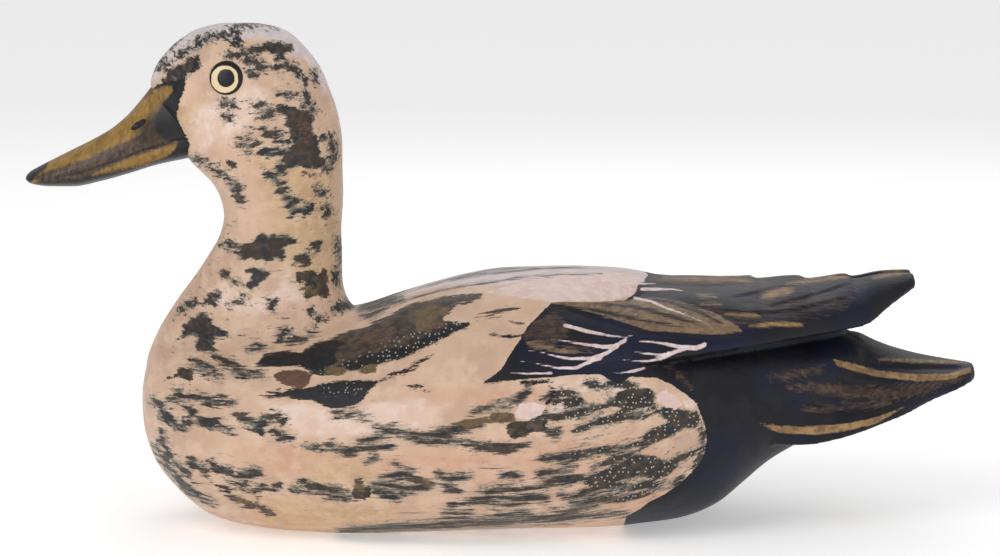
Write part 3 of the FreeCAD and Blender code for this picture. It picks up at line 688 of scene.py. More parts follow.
        (0.6, 0.7, 83, 95, 90, 94.2), (0.9, 0.6, 12, 74.6, 24, 72, 40, 71)]},
    "barbs": {"reach": 2, "lines": [
        (0.3, 0.62, -42, 96.5, -25, 101, -8.6, 104, 17, 106.8, 42, 106.8),
        (0.3, 0.64, -58, 89, -42, 92.6, -25, 97.6, -8.6, 100, 8.4, 102.8, 25, 104, 42, 104),
        (0.7, 0.74, 26, 90.4, 34, 89.6, 46, 87.4, 59, 84.6, 71.6, 83),
        (0.8, 0.76, 42, 91.4, 54.7, 90.4, 65.3, 88, 75.8, 84.8, 84.3, 82),
        (1, 0.7, 60, 93.4, 71, 92.4, 82, 88.8, 93, 83), (0.4, 0.66, 50, 86.4, 62, 83.6, 76, 81.4),
        (0.4, 0.64, 70, 86.4, 80, 83.4, 88, 81)]},
    "ochre": {"reach": 2.6, "outlines": [
        (0.78, 140, 68, 150, 65.4, 160, 62.8, 176, 61.2, 190, 61.6, 199, 64.4, 199, 62, 189, 58.8,
         177, 58.2, 160, 60, 150, 62.4, 142, 65),
        (0.8, 108, 40.6, 118, 39, 132, 39, 147, 40, 160, 43, 171, 47.4, 160, 40.4, 147, 37, 133, 35.4,
         118, 36)],
     "lines": [
        (0.5, 0.7, 160, 67.6, 178, 67, 199, 66.2), (1.6, 0.62, 110, 94, 116, 96, 123, 97.4),
        (0.5, 0.66, 68, 102.2, 86, 102, 106, 101.2), (0.6, 0.7, 120, 100, 134, 101.6, 147, 103.4),
        (0.5, 0.66, 157, 102.6, 165, 104, 172, 105.2), (0.5, 0.78, 84, 91.8, 92.7, 91),
        (0.8, 0.86, 94.5, 87, 109, 86.2), (0.8, 0.84, 104.7, 82, 116, 82.8, 126.6, 82.6)]},
    "gold": {"reach": 3, "outlines": [
        # the bill's own colour carried up on to the face
        (0.9, -152, 180, -148, 181, -141.7, 183.8, -138.4, 183.6, -138, 181.6, -140.4, 178.6, -143, 176,
         -148, 174, -154, 172)]},
    "blush": {"reach": 3, "outlines": [
        (0.78, -8, 96.4, 8, 100.4, 25, 103.6, 42, 103.4, 51.6, 101, 56.4, 97.4, 54.6, 94.8, 46, 92.8,
         30, 92.4, 19, 92.6),
        (0.78, 40.8, 103.3, 44, 105, 52.6, 104.5, 59, 102.8, 60.2, 101, 57.2, 100.3, 50.5, 100,
         42, 101.6),
        (0.84, 5, 44.6, 7.6, 49, 13, 49.6, 18.4, 47.6, 17, 44, 11, 41.8, 6, 42.6),
        (0.84, 66, 53.6, 69, 54.4, 73.6, 51.8, 76.4, 49, 74.6, 46.2, 69, 47.4, 65.6, 50),
        (0.84, 77, 49.6, 80, 50.6, 82.4, 48.8, 81, 46.8, 78, 47)],
     "lines": [
        (0.6, 0.72, 20, 48, 26, 47.6), (0.5, 0.68, 19, 46, 27, 45.6)]},
    "chalk": {"reach": 1.6, "taper": True, "lines": [
        (0.75, 1, 56, 78.6, 52.6, 77.2, 46.3, 77.7, 37.8, 79.4, 31.5, 81, 26.4, 82.4),
        (0.8, 1, 20.5, 76.4, 25, 76, 31.5, 74.7, 37.8, 73.8, 44, 73, 48.4, 73.8, 52.2, 76),
        (0.7, 1, 10, 71.8, 16.7, 70.8, 23, 69, 29.4, 68, 37.8, 68.3, 44, 70.4, 48.4, 73),
        (0.7, 1, 8, 67, 13.3, 66.4, 18.8, 65, 25, 64, 31.5, 64.2, 37.8, 67, 42, 68.5),
        (0.5, 1, 1, 62.4, 10.3, 61.6, 21, 62),
        (1, 1, 57.7, 75.5, 63, 75.3, 69.5, 74.3, 75.8, 73, 82.2, 72.6, 85.5, 74),
        (0.7, 1, 54.7, 71.3, 59.8, 70.4, 67.4, 69.6, 72.4, 70.8, 77, 72),
        (0.6, 1, 50, 67.8, 54.7, 67.2, 61, 67, 67.4, 68, 73, 70.6),
        (0.6, 1, 46.7, 61.9, 51.3, 62, 56, 62.8, 60.2, 64),
        (0.5, 1, 87.6, 82.8, 82.2, 85, 75.8, 87.5, 69.5, 89.6, 63, 92.6, 55.5, 94),
        (0.65, 1, 77, 97, 71.6, 97.7, 65.3, 97.7, 59, 97.7), (0.45, 1, 65.3, 100, 58, 100, 50.5, 100)]},
    "rust": {"reach": 3, "outlines": [
        (0.92, -97.4, 60.6, -93, 63.2, -84.7, 63.2, -80.5, 61.4, -81.3, 59, -83, 56.3, -85, 55.2,
         -89.5, 56, -94.8, 58.2)],
     "lines": [
        (0.4, 0.6, -84, 147, -79, 146.5, -76.5, 143), (1, 0.6, -33, 84.5, -30, 82, -24, 81.5),
        (1.6, 0.5, -84, 168, -82, 160), (1.6, 0.5, -60, 76, -46, 79)]},
    "olive": {"reach": 3, "outlines": [
        (0.92, -75.4, 63, -72.5, 65, -66.5, 65, -66, 62, -69.5, 60.6, -74, 61.2),
        (0.92, -60.6, 62.6, -59, 64.5, -55.6, 65.7, -53, 65.3, -53.4, 62.3, -57, 61.7, -60, 61.7),
        (0.66, -38, 88, -30, 91, -24, 90.5, -22, 88, -28, 85.6, -31, 80, -36, 80),
        (0.76, -21.8, 40, -17, 41.8, -12, 42.2, -5.3, 42.7, -4.4, 44.8, -0.2, 45.7, 4, 45.2, 5.7, 43,
         4.9, 41.4, 1, 40, -2.3, 40.5, -7.4, 40, -13, 38.8, -16.3, 38, -18, 39.3),
        (0.84, -33.6, 16.2, -30.6, 15.4, -30.2, 13.2, -33.2, 12.8)],
     "lines": [
        (1.2, 0.62, -113, 7, -108, 6), (1.6, 0.56, -84, 98, -79, 97), (1.6, 0.6, -62, 14, -59, 12)]},
    "dots": {"reach": 4, "outlines": [
        (1, 24, 57, 48, 59, 66, 60, 78, 54, 86, 44, 89, 30, 84, 16, 70, 8, 50, 6, 36, 10, 34, 22,
         20, 40),
        (0.9, -78, 62, -70, 66, -60, 69, -46, 76, -30, 84, -20, 90, -14, 84, -28, 74, -42, 68, -54, 64,
         -66, 62),
        (1, -76, 57, -60, 57.6, -58, 54, -74, 53)]},
    "cool": {"reach": 14, "outlines": [
        (0.9, -150, 185, -125, 203, -100, 206, -80, 192, -66, 170, -66, 230, -150, 230),
        (0.9, -60, 92, -20, 98, 30, 103, 62, 101, 62, 120, -60, 120)]},
    # the pale wash: paler paint on the cheek and the wing's lower panel, and painted highlights on the
    # breast
    "paleAndHighlight": {"reach": 10, "outlines": [
        (0.72, -134, 170, -120, 178, -104, 184, -96, 178, -104, 168, -126, 156),
        (0.8, -102, 50, -84, 49, -66, 45, -50, 50, -20, 50, -30, 40, -60, 34, -88, 36),
        (0.68, -90, 109, -94, 98, -106, 94, -118, 100, -126, 92, -112, 88, -84, 92),
        (0.72, 18, 59, 60, 59, 60, 55, 20, 53)]},
    "salmon": {"reach": 16, "outlines": [
        (0.62, -110, 30, -60, 26, -10, 30, 60, 34, 70, 24, 20, 14, -40, 18, -100, 20),
        (0.6, -40, 56, 20, 54, 10, 48, -30, 50), (0.8, 40, 8, 70, 14, 76, 10, 60, 0, 40, 0)]},
    "honey": {"reach": 22, "outlines": [
        (0.66, -103, 152, -68, 150, -66, 100, -88, 104, -96, 124),
        (0.72, -137, 176, -131, 174, -131, 166, -137, 166), (0.62, -84, 26, -60, 24, -52, 18, -80, 14),
        (0.7, -110, 8, -60, 4, -30, -4, -100, -6)]},
}


paintEdge = {"ground": 8.0, "tapered": 0.15, "taperRun": 0.7, "thinned": 0.35, "thinRun": 0.25}
brushing = {"turn": -92.0, "wingFoot": 80.0, "wingFade": 34.0, "flankRise": 15.0, "flankEnd": 85.0,
            "wing": [(-110, -14), (-60, -6), (0, 13), (30, 16), (60, 12), (110, 6)],
            "tailBend": 0.0075, "tailMiddle": 138.0, "tailFrom": 95.0, "tailRun": 15.0,
            "tailTop": 84.0, "tailFade": 6.0}


def paintField(places, layer):
    # How far inside the paint each place is: 0.5 on a mark's edge, scaled by its strength.
    field = np.zeros(len(places))
    reach = layer["reach"]
    for low, high, first, last, strength in layer.get("ground", []):
        inner = np.minimum(np.minimum(places[:, 1] - low, high - places[:, 1]),
                           np.minimum(places[:, 0] - first, last - places[:, 0]))
        field = np.maximum(field, strength * np.clip(0.5 + inner / paintEdge["ground"], 0, 1))
    for strength, *corners in layer.get("outlines", []):
        inner = insideDistance(places, pairs(corners))
        field = np.maximum(field, strength * np.clip(0.5 / strength + inner / reach, 0, 1))
    for half, strength, *line in layer.get("lines", []):
        gap, share, _ = lineDistance(places, pairs(line))
        if layer.get("taper"):
            thin, run = paintEdge["tapered"], share / paintEdge["taperRun"]
        else:
            thin, run = paintEdge["thinned"], np.minimum(share, 1 - share) / paintEdge["thinRun"]
        width = half * (thin + (1 - thin) * np.clip(run, 0, 1))
        rise = np.clip(0.5 / strength + (width - gap) / (2 * reach), 0, 1)
        field = np.maximum(field, strength * rise)
    return field


def setField(mesh, name, values):
    attribute = mesh.attributes.new(name, "FLOAT", "POINT")
    attribute.data.foreach_set("value", np.asarray(values, np.float32))


def setVectors(mesh, name, vectors):
    attribute = mesh.attributes.new(name, "FLOAT_VECTOR", "POINT")
    attribute.data.foreach_set("vector", np.asarray(vectors, np.float32).ravel())


def layPaint(mesh, layers):
    points = coordinates(mesh)
    places = inDrawing(points)
    for name, layer in layers.items():
        setField(mesh, name, paintField(places, layer))
    # Brush direction: along the sides, round the breast, sweeping up at the flank's end, up the
    # wing's slope and round the tail's feathers.
    turn = brushing["turn"]
    radius = np.hypot(points[:, 0] - turn, points[:, 1])
    angle = np.arctan2(np.abs(points[:, 1]), turn - points[:, 0])
    along = np.where(points[:, 0] > turn, points[:, 0] - turn, -radius * (np.pi / 2 - angle))
    depth = np.where(points[:, 0] > turn, points[:, 1], radius * np.sign(points[:, 1]))
    low = np.clip((brushing["wingFoot"] - places[:, 1]) / brushing["wingFade"], 0, 1)
    sweep = np.clip(places[:, 0], 0, None) / brushing["flankEnd"]
    flank = brushing["flankRise"] * sweep ** 2 * low
    wing = smooth(brushing["wing"], places[:, 0])
    tail = brushing["tailBend"] * (places[:, 0] - brushing["tailMiddle"]) ** 2
    isTail = np.clip((places[:, 0] - brushing["tailFrom"]) / brushing["tailRun"], 0, 1)
    isTail *= np.clip((brushing["tailTop"] - places[:, 1]) / brushing["tailFade"], 0, 1)
    rise = (flank + wing * (1 - low)) * (1 - isTail) + tail * isTail
    setVectors(mesh, "brush", np.stack([along, points[:, 2] - rise, depth], axis=1))
    setVectors(mesh, "drawn", np.column_stack([places, np.zeros(len(places))]))


def tone(red, green, blue):
    # A colour given as the eye sees it, 0 to 255, turned to the linear values the shader wants.
    return tuple(((c / 255 + 0.055) / 1.055) ** 2.4 if c > 10 else c / 255 / 12.92
                 for c in (red, green, blue)) + (1.0,)


def addNode(tree, kind, at, inputs=None, **settings):
    node = tree.nodes.new(kind)
    node.location = (at[0] * 200, at[1] * -180)
    for key, value in settings.items():
        setattr(node, key, value)
    for key, value in (inputs or {}).items():
        if isinstance(value, bpy.types.NodeSocket):
            tree.links.new(value, node.inputs[key])
        else:
            node.inputs[key].default_value = value
    return node


def arith(tree, at, operation, *values):
    return addNode(tree, "ShaderNodeMath", at, dict(enumerate(values)), operation=operation).outputs[0]


def ramp(tree, at, value, low, high, start=0.0, end=1.0, kind="SMOOTHSTEP"):
    return addNode(tree, "ShaderNodeMapRange", at, {
        "Value": value, "From Min": low, "From Max": high, "To Min": start, "To Max": end},
        interpolation_type=kind).outputs[0]


def noise(tree, at, place, scale, detail, **more):
    return addNode(tree, "ShaderNodeTexNoise", at, {
        "Vector": place, "Scale": scale, "Detail": detail, **more}).outputs["Fac"]


def divided(tree, at, place, size):
    return addNode(tree, "ShaderNodeVectorMath", at, {0: place, 1: size}, operation="DIVIDE").outputs[0]


def over(tree, at, below, colour, mask):
    inputs = {0: mask, 6: below, 7: colour}
    return addNode(tree, "ShaderNodeMix", at, inputs, data_type="RGBA").outputs[2]


def newGroup(name, inputs, outputs):
    group = bpy.data.node_groups.new(name, "ShaderNodeTree")
    for label, kind, value in inputs:
        socket = group.interface.new_socket(label, in_out="INPUT", socket_type="NodeSocket" + kind)
        if value is not None:
            socket.default_value = value
    for label, kind in outputs:
        group.interface.new_socket(label, in_out="OUTPUT", socket_type="NodeSocket" + kind)
    source = group.nodes.new("NodeGroupInput")
    result = group.nodes.new("NodeGroupOutput")
    source.location, result.location = (-1400, 0), (500, 0)
    return group, source.outputs, result.inputs


def brokenPaintGroup():
    # Turns a smooth cover value into a ragged, dry-brushed edge that follows the brush.
    group, source, result = newGroup(
        "brokenPaint", [("Brush", "Vector", None), ("Cover", "Float", 0.5),
                        ("Patch Length", "Float", 12.0), ("Patch Height", "Float", 4.0),
                        ("Ragged", "Float", 1.0), ("Specks", "Float", 0.4), ("Edge", "Float", 0.02)],
        [("Mask", "Float"), ("Halo", "Float")])
    size = addNode(group, "ShaderNodeCombineXYZ", (-5, 0), {
        "X": source["Patch Length"], "Y": source["Patch Height"], "Z": source["Patch Height"]})
    cells = divided(group, (-4, 0), source["Brush"], size.outputs[0])
    broad = noise(group, (-3, 0), cells, 1.0, 6.0, Roughness=0.62, Distortion=0.25)
    fine = noise(group, (-3, 1), cells, 4.3, 4.0, Roughness=0.75)
    broadSwing = arith(group, (-2, 0), "SUBTRACT", broad, 0.5)
    fineSwing = arith(group, (-2, 1), "SUBTRACT", fine, 0.5)
    first = arith(group, (-1, 0), "MULTIPLY_ADD", broadSwing, source["Ragged"], source["Cover"])
    total = arith(group, (0, 0), "MULTIPLY_ADD", fineSwing, source["Specks"], first)
    low = arith(group, (0, 1), "SUBTRACT", 0.5, source["Edge"])
    high = arith(group, (0, 2), "ADD", 0.5, source["Edge"])
    group.links.new(ramp(group, (1, 0), total, low, high), result["Mask"])
    group.links.new(ramp(group, (1, 1), total, 0.34, 0.5), result["Halo"])
    return group


def driftGroup():
    # Three colours that drift into each other over the surface.
    group, source, result = newGroup(
        "colourDrift", [("Brush", "Vector", None), ("Size", "Float", 20.0), ("First", "Color", None),
                        ("Second", "Color", None), ("Third", "Color", None)], [("Color", "Color")])
    size = addNode(group, "ShaderNodeCombineXYZ", (-4, 0), {key: source["Size"] for key in "XYZ"})
    scaled = divided(group, (-3, 0), source["Brush"], size.outputs[0])
    one = ramp(group, (-1, 0), noise(group, (-2, 0), scaled, 1.0, 3.0), 0.38, 0.62)
    two = ramp(group, (-1, 1), noise(group, (-2, 1), scaled, 2.7, 5.0, Roughness=0.6), 0.42, 0.66)
    mixed = over(group, (0, 0), source["First"], source["Second"], one)
    group.links.new(over(group, (1, 0), mixed, source["Third"], two), result["Color"])
    return group


groups = {"broken": brokenPaintGroup(), "drift": driftGroup()}


def newMaterial(name):
    material = bpy.data.materials.new(name)
    material.use_nodes = True
    tree = material.node_tree
    return material, tree, tree.nodes["Principled BSDF"]


def field(tree, name, at):
    return addNode(tree, "ShaderNodeAttribute", at, attribute_name=name)


def broken(tree, at, brush, cover, *breakUp):
    # The mask and the halo of one paint; breakUp is patch length and height, ragged, specks, edge.
    node = addNode(tree, "ShaderNodeGroup", at, {}, node_tree=groups["broken"])
    tree.links.new(brush, node.inputs["Brush"])
    tree.links.new(cover, node.inputs["Cover"])
    for label, value in zip(("Patch Length", "Patch Height", "Ragged", "Specks", "Edge"), breakUp):
        node.inputs[label].default_value = value
    return node.outputs["Mask"], node.outputs["Halo"]


def drift(tree, at, brush, size, *colours):
    node = addNode(tree, "ShaderNodeGroup", at, {}, node_tree=groups["drift"])
    tree.links.new(brush, node.inputs["Brush"])
    for label, value in zip(("Size", "First", "Second", "Third"), (size, *colours)):
        node.inputs[label].default_value = value
    return node.outputs["Color"]


def finishMaterial(tree, shader, colour, surface, height, relief):
    # The colour, the gloss and the fine relief on the material's own shader.
    tree.links.new(colour, shader.inputs["Base Color"])
    for label, value in surface.items():
        shader.inputs[label].default_value = value
    strength, distance = relief
    bump = addNode(tree, "ShaderNodeBump", (1, 6), {
        "Height": height, "Strength": strength, "Distance": distance})
    tree.links.new(bump.outputs[0], shader.inputs["Normal"])


paints = {
    "peach": (tone(210, 177, 152), tone(200, 167, 144), tone(218, 187, 162)),
    "cool": (tone(216, 204, 204), tone(204, 194, 198), tone(226, 208, 204)),
    # the pale tones are paler paint and also painted highlights on the breast
    "paleAndHighlight": (tone(226, 198, 180), tone(220, 190, 170), tone(230, 206, 192)),
    "salmon": (tone(210, 168, 143), tone(204, 160, 134), tone(216, 178, 154)),
    "honey": (tone(202, 170, 134), tone(192, 159, 124), tone(210, 180, 146)),
    "ink": (tone(62, 53, 50), tone(44, 47, 52), tone(82, 70, 60)),
    "halo": tone(128, 124, 114),
    "dust": tone(104, 104, 98),
    "dot": tone(190, 182, 164),
    "umber": (tone(74, 63, 56), tone(54, 48, 45), tone(92, 80, 70)),
    "pitch": (tone(32, 31, 34), tone(32, 36, 46), tone(44, 41, 37)),
    "rust": (tone(110, 80, 65), tone(102, 74, 60), tone(92, 70, 58)),
    "olive": (tone(108, 90, 64), tone(94, 78, 56), tone(118, 100, 74)),
    "navy": (tone(22, 22, 29), tone(24, 28, 50), tone(32, 30, 33)),
    "sepia": (tone(74, 58, 50), tone(56, 46, 42), tone(92, 74, 62)),
    "khaki": (tone(126, 103, 80), tone(106, 85, 66), tone(142, 120, 96)),
    "barbs": (tone(38, 33, 33), tone(48, 40, 36), tone(60, 50, 42)),
    "ochre": (tone(168, 134, 92), tone(142, 114, 78), tone(118, 94, 70)),
    "gold": (tone(142, 110, 58), tone(124, 96, 54), tone(158, 126, 70)),
    "blush": (tone(224, 198, 190), tone(218, 188, 178), tone(230, 208, 200)),
    "chalk": (tone(220, 202, 202), tone(210, 180, 174), tone(232, 220, 220)),
}
surfaces = {
    "duck": {"Roughness": 0.44, "Specular IOR Level": 0.2, "Coat Weight": 0.02, "Coat Roughness": 0.3},
    "bill": {"Roughness": 0.38, "Specular IOR Level": 0.3, "Coat Weight": 0.08, "Coat Roughness": 0.25},
    "eye": {"Roughness": 0.32, "Specular IOR Level": 0.25, "Coat Weight": 0.05, "Coat Roughness": 0.15},
}
# How each paint breaks up: (drift size, patch length, patch height, ragged, specks, edge). The dark
# marks have no drift size of their own.
darkMarks = {"ink": (8.0, 2.0, 1.5, 0.4, 0.04), "streak": (18.0, 2.2, 1.3, 0.5, 0.05),
             "dust": (7.0, 1.3, 1.1, 1.2, 0.08), "haze": 0.7}
paleDots = {"scale": 0.5, "scatter": 0.85, "solid": 0.1, "gone": 0.21, "wornOff": 0.4}
driftSizes = {"duck": 24.0, "ink": 9.0, "bill": 9.0, "billCoats": 8.0}
washes = {"cool": (14.0, 18.0, 6.0, 1.0, 0.3, 0.16), "paleAndHighlight": (14.0, 16.0, 6.0, 0.8, 0.2, 0.2),
          "salmon": (16.0, 30.0, 8.0, 1.0, 0.2, 0.2), "honey": (12.0, 16.0, 6.0, 0.9, 0.2, 0.18)}
# Fine relief: (strength, depth in metres) for each material, and how the brush marks are stretched.
relief = {"duck": (0.5, 0.00022), "bill": (0.5, 0.0002), "eye": (0.3, 0.0001),
          "hardware": (0.4, 0.0002), "duckStrokes": (3.0, 0.6, 0.6), "billStrokes": (4.0, 0.7, 0.7),
          "swellScale": 0.14, "swell": 4.0, "worn": -0.9}
coats = {"umber": (9.0, 14.0, 1.6, 1.4, 0.55, 0.05), "pitch": (9.0, 7.0, 1.4, 0.9, 0.6, 0.04),
         "gold": (6.0, 9.0, 1.6, 0.5, 0.3, 0.2), "rust": (6.0, 7.0, 1.6, 1.0, 0.6, 0.08),
         "olive": (6.0, 9.0, 1.6, 1.2, 0.6, 0.08), "navy": (30.0, 6.0, 1.4, 0.4, 0.25, 0.04),
         "sepia": (8.0, 22.0, 1.2, 1.1, 0.3, 0.16), "khaki": (7.0, 24.0, 1.3, 1.2, 0.25, 0.09),
         "barbs": (9.0, 18.0, 1.0, 0.8, 0.25, 0.1), "ochre": (9.0, 26.0, 1.0, 0.6, 0.3, 0.12),
         "blush": (10.0, 10.0, 1.6, 0.9, 0.4, 0.08), "chalk": (6.0, 4.0, 0.8, 0.3, 0.2, 0.06)}


def duckPaint():
    material, tree, shader = newMaterial("wornDuckPaint")
    brush = field(tree, "brush", (-14, 0)).outputs["Vector"]
    covers = {name: field(tree, name, (-14, i + 1)).outputs["Fac"]
              for i, name in enumerate(paintLayers)}
    colour = drift(tree, (-12, 0), brush, driftSizes["duck"], *paints["peach"])
    # the washes over the peach; the pale one also lays painted highlights on the breast
    for step, (name, (size, *breakUp)) in enumerate(washes.items()):
        mask, _ = broken(tree, (-11 + step, 2), brush, covers[name], *breakUp)
        layer = drift(tree, (-11 + step, 1), brush, size, *paints[name])
        colour = over(tree, (-11 + step, 0), colour, layer, mask)
    # the dark marks: what is left of them, a worn rim, and specks from dry bristles round them
    patches, patchHalo = broken(tree, (-8, 2), brush, covers["ink"], *darkMarks["ink"])
    streaks, streakHalo = broken(tree, (-8, 3), brush, covers["streak"], *darkMarks["streak"])
    inkMask = arith(tree, (-7, 3), "MAXIMUM", patches, streaks)
    halo = arith(tree, (-7, 4), "MAXIMUM", patchHalo, streakHalo)
    haze = arith(tree, (-7, 2), "MULTIPLY", halo, darkMarks["haze"])
    colour = over(tree, (-7, 0), colour, paints["halo"], haze)
    marked = arith(tree, (-9, 3), "MAXIMUM", covers["ink"], covers["streak"])
    dust, _ = broken(tree, (-8, 4), brush, marked, *darkMarks["dust"])
    colour = over(tree, (-7, 1), colour, paints["dust"], dust)
    inkColour = drift(tree, (-8, 5), brush, driftSizes["ink"], *paints["ink"])
    # rows of small pale dots on the dark marks, some of them worn off
    drawn = field(tree, "drawn", (-9, 6)).outputs["Vector"]
    dots = addNode(tree, "ShaderNodeTexVoronoi", (-8, 6), {
        "Vector": drawn, "Scale": paleDots["scale"], "Randomness": paleDots["scatter"]},
        voronoi_dimensions="2D").outputs
    dotMask = ramp(tree, (-7, 6), dots["Distance"], paleDots["solid"], paleDots["gone"], 1.0, 0.0,
                   "LINEAR")
    chosen = arith(tree, (-7, 7), "GREATER_THAN", dots["Color"], paleDots["wornOff"])
    dotMask = arith(tree, (-6, 7), "MULTIPLY", dotMask, chosen)
    dotMask = arith(tree, (-6, 6), "MULTIPLY", dotMask, covers["dots"])
    inkColour = over(tree, (-6, 5), inkColour, paints["dot"], dotMask)
    colour = over(tree, (-6, 0), colour, inkColour, inkMask)
    for step, (name, (size, *breakUp)) in enumerate(coats.items()):
        mask, _ = broken(tree, (-5 + step, 3), brush, covers[name], *breakUp)
        layer = drift(tree, (-5 + step, 4), brush, size, *paints[name])
        if name in ("umber", "pitch"):
            layer = over(tree, (-5 + step, 5), layer, paints["dot"], dotMask)
        colour = over(tree, (-5 + step, 0), colour, layer, mask)
    strokes = noise(tree, (-2, 6), divided(tree, (-3, 6), brush, relief["duckStrokes"]), 1.0, 3.0)
    swells = noise(tree, (-2, 7), brush, relief["swellScale"], 3.0)
    height = arith(tree, (-1, 6), "MULTIPLY_ADD", swells, relief["swell"], strokes)
    worn = arith(tree, (0, 6), "MULTIPLY_ADD", inkMask, relief["worn"], height)
    finishMaterial(tree, shader, colour, surfaces["duck"], worn, relief["duck"])
    return material


# The bill, in the same side drawing as the duck.
billShape = {
    "top": [(-199.9, 146), (-199, 147.2), (-195, 149.6), (-188, 153.2), (-180, 157.2),
            (-172, 161.2), (-164, 165.8), (-157, 171.6), (-150, 179.6), (-145, 185.4), (-134, 189.6)],
    "bottom": [(-199.9, 144.4), (-198, 142.8), (-190, 141.7), (-180, 141.6), (-168, 143.9),
               (-156, 147.2), (-145, 150.6), (-132, 153.4), (-122, 155.5)],
    "half": [(-199.9, 4), (-199, 6), (-196, 9), (-190, 12), (-182, 13), (-172, 12.4), (-160, 12.2),
             (-148, 13.6), (-134, 15.5)],
    "gape": [(-131, 161.5), (-138, 160.2), (-144, 158.3), (-152.5, 155.5), (-160.7, 152.6),
             (-169, 149.6), (-178, 147), (-188, 145)],
    "groove": {"depth": 0.8, "half": 0.8, "fade": 0.15},
    "nostril": {"at": (-152.5, 167.4), "slant": (0.45, 0.4), "long": 3.0, "high": 1.5, "depth": 1.2,
                "offMiddle": 3.0},
    "tip": [-199.9, -199.6, -199], "stations": (-198, -124, 0.9), "around": 112,
    "powerAbove": 1.9, "powerBelow": 2.2, "widest": 0.34,
}
billCoats = {
    "base": (tone(148, 113, 55), tone(124, 95, 50), tone(162, 128, 68)),
    "plum": {"breakUp": (14.0, 1.8, 0.7, 0.3, 0.22),
             "colours": (tone(82, 63, 54), tone(60, 48, 46), tone(104, 80, 58))},
    "shade": {"breakUp": (14.0, 4.0, 0.5, 0.3, 0.3),
              "colours": (tone(60, 46, 38), tone(48, 42, 40), tone(74, 58, 40))},
    "black": {"breakUp": (9.0, 1.4, 0.6, 0.3, 0.18),
              "colours": (tone(26, 26, 29), tone(32, 34, 40), tone(38, 34, 32))},
    "nostril": {"breakUp": (4.0, 1.0, 0.1, 0.1, 0.1), "colours": (tone(16, 15, 17),) * 3},
}
billPaint = {
    "plum": {"reach": 4, "outlines": [
        (0.95, -145, 169, -151, 163.4, -160, 159.6, -168, 156, -176, 152.6, -184, 150, -192, 147.4,
         -198, 145, -190, 141, -176, 142.6, -171, 147, -160.7, 152, -152.5, 155, -144, 158, -138, 160,
         -138, 166)]},
    "shade": {"reach": 8, "outlines": [
        (0.84, -140, 180, -146, 172.6, -151, 169, -154, 162, -150, 158.5, -138, 160, -128, 165,
         -128, 184)]},
    "black": {"reach": 3, "outlines": [
        # root of the bill, corner of the mouth, nail at the tip
        (0.8, -134, 185, -137.6, 180, -141, 176.6, -144.6, 172.6, -146, 168.4, -145.4, 164, -141, 160.8,
         -136, 160, -131, 161, -122, 170, -122, 188),
        (0.9, -131, 163, -136, 160.5, -137.5, 157, -141, 154, -150, 150.6, -140, 146, -122, 150),
        (0.9, -204, 138, -204, 152, -196, 153, -188.6, 157, -187.6, 155.4, -190, 152.4, -192, 149,
         -196, 146, -198, 143)],
     "lines": [
        (0.45, 0.85, -136, 160.8, -144, 158.3, -152.5, 155.5, -160.7, 152.6, -169, 149.6, -178, 147,
         -188, 145),
        (2.3, 0.9, -134, 152, -150, 148.4, -165, 145.2, -176, 142.8, -184, 142, -196, 142.6),
        (1, 0.8, -154, 177.4, -149, 181.6, -142, 186)]},
    "nostril": {"reach": 1.2, "outlines": [
        (1, -155.8, 165.2, -155.6, 166.6, -153.6, 168.4, -150.8, 169.8, -149.2, 169.6, -149.8, 168,
         -152, 166.2, -154.4, 165)]},
}


def billMesh():
    stations = np.concatenate([billShape["tip"], np.arange(*billShape["stations"])])
    around = billShape["around"]
    angles = np.linspace(0, 2 * np.pi, around, endpoint=False)
    up = np.sin(angles) > 0
    exponent = np.where(up, 2 / billShape["powerAbove"], 2 / billShape["powerBelow"])
    rings = []
    for x in stations:
        bottom, top = smooth(billShape["bottom"], x), smooth(billShape["top"], x)
        widest = bottom + (top - bottom) * billShape["widest"]
        reach = np.where(up, top - widest, widest - bottom)
        rings.append(np.stack([
            np.full(around, x), smooth(billShape["half"], x) * power(np.cos(angles), exponent),
            widest + reach * power(np.sin(angles), exponent)], axis=1))
    mesh = withModifiers(outward(ringsMesh("bill", rings)), ("SUBSURF", {"levels": 1}))
    points, normals = coordinates(mesh), vertexNormals(mesh)
    places = inDrawing(points)
    # the gape's groove fades out at the tip, and the nostrils are slanted hollows
    groove, nostril = billShape["groove"], billShape["nostril"]
    gap, share, _ = lineDistance(places, billShape["gape"])
    fade = np.clip((1 - share) / groove["fade"], 0, 1)
    depth = -groove["depth"] * np.exp(-(gap / groove["half"]) ** 2) * fade
    along, up = (places - np.array(nostril["at"])).T
    upSlant, alongSlant = nostril["slant"]
    away = np.hypot((along + up * upSlant) / nostril["long"],
                    (up - along * alongSlant) / nostril["high"])
    depth -= nostril["depth"] * np.exp(-away ** 2) * (np.abs(points[:, 1]) > nostril["offMiddle"])
    mesh = pushed(mesh, points, normals, depth)
    mesh.shade_smooth()
    layPaint(mesh, billPaint)
    return mesh


def billMaterial():
    material, tree, shader = newMaterial("wornBillPaint")
    brush = field(tree, "brush", (-8, 0)).outputs["Vector"]
    colour = drift(tree, (-6, 0), brush, driftSizes["bill"], *billCoats["base"])
    for step, name in enumerate(billPaint):
        mask, _ = broken(tree, (-6 + step, 2), brush, field(tree, name, (-8, 1 + step)).outputs["Fac"],
                         *billCoats[name]["breakUp"])
        layer = drift(tree, (-6 + step, 3), brush, driftSizes["billCoats"], *billCoats[name]["colours"])
        colour = over(tree, (-5 + step, 0), colour, layer, mask)
    strokes = noise(tree, (-2, 6), divided(tree, (-3, 6), brush, relief["billStrokes"]), 1.0, 4.0)
    finishMaterial(tree, shader, colour, surfaces["bill"], strokes, relief["bill"])
    return material


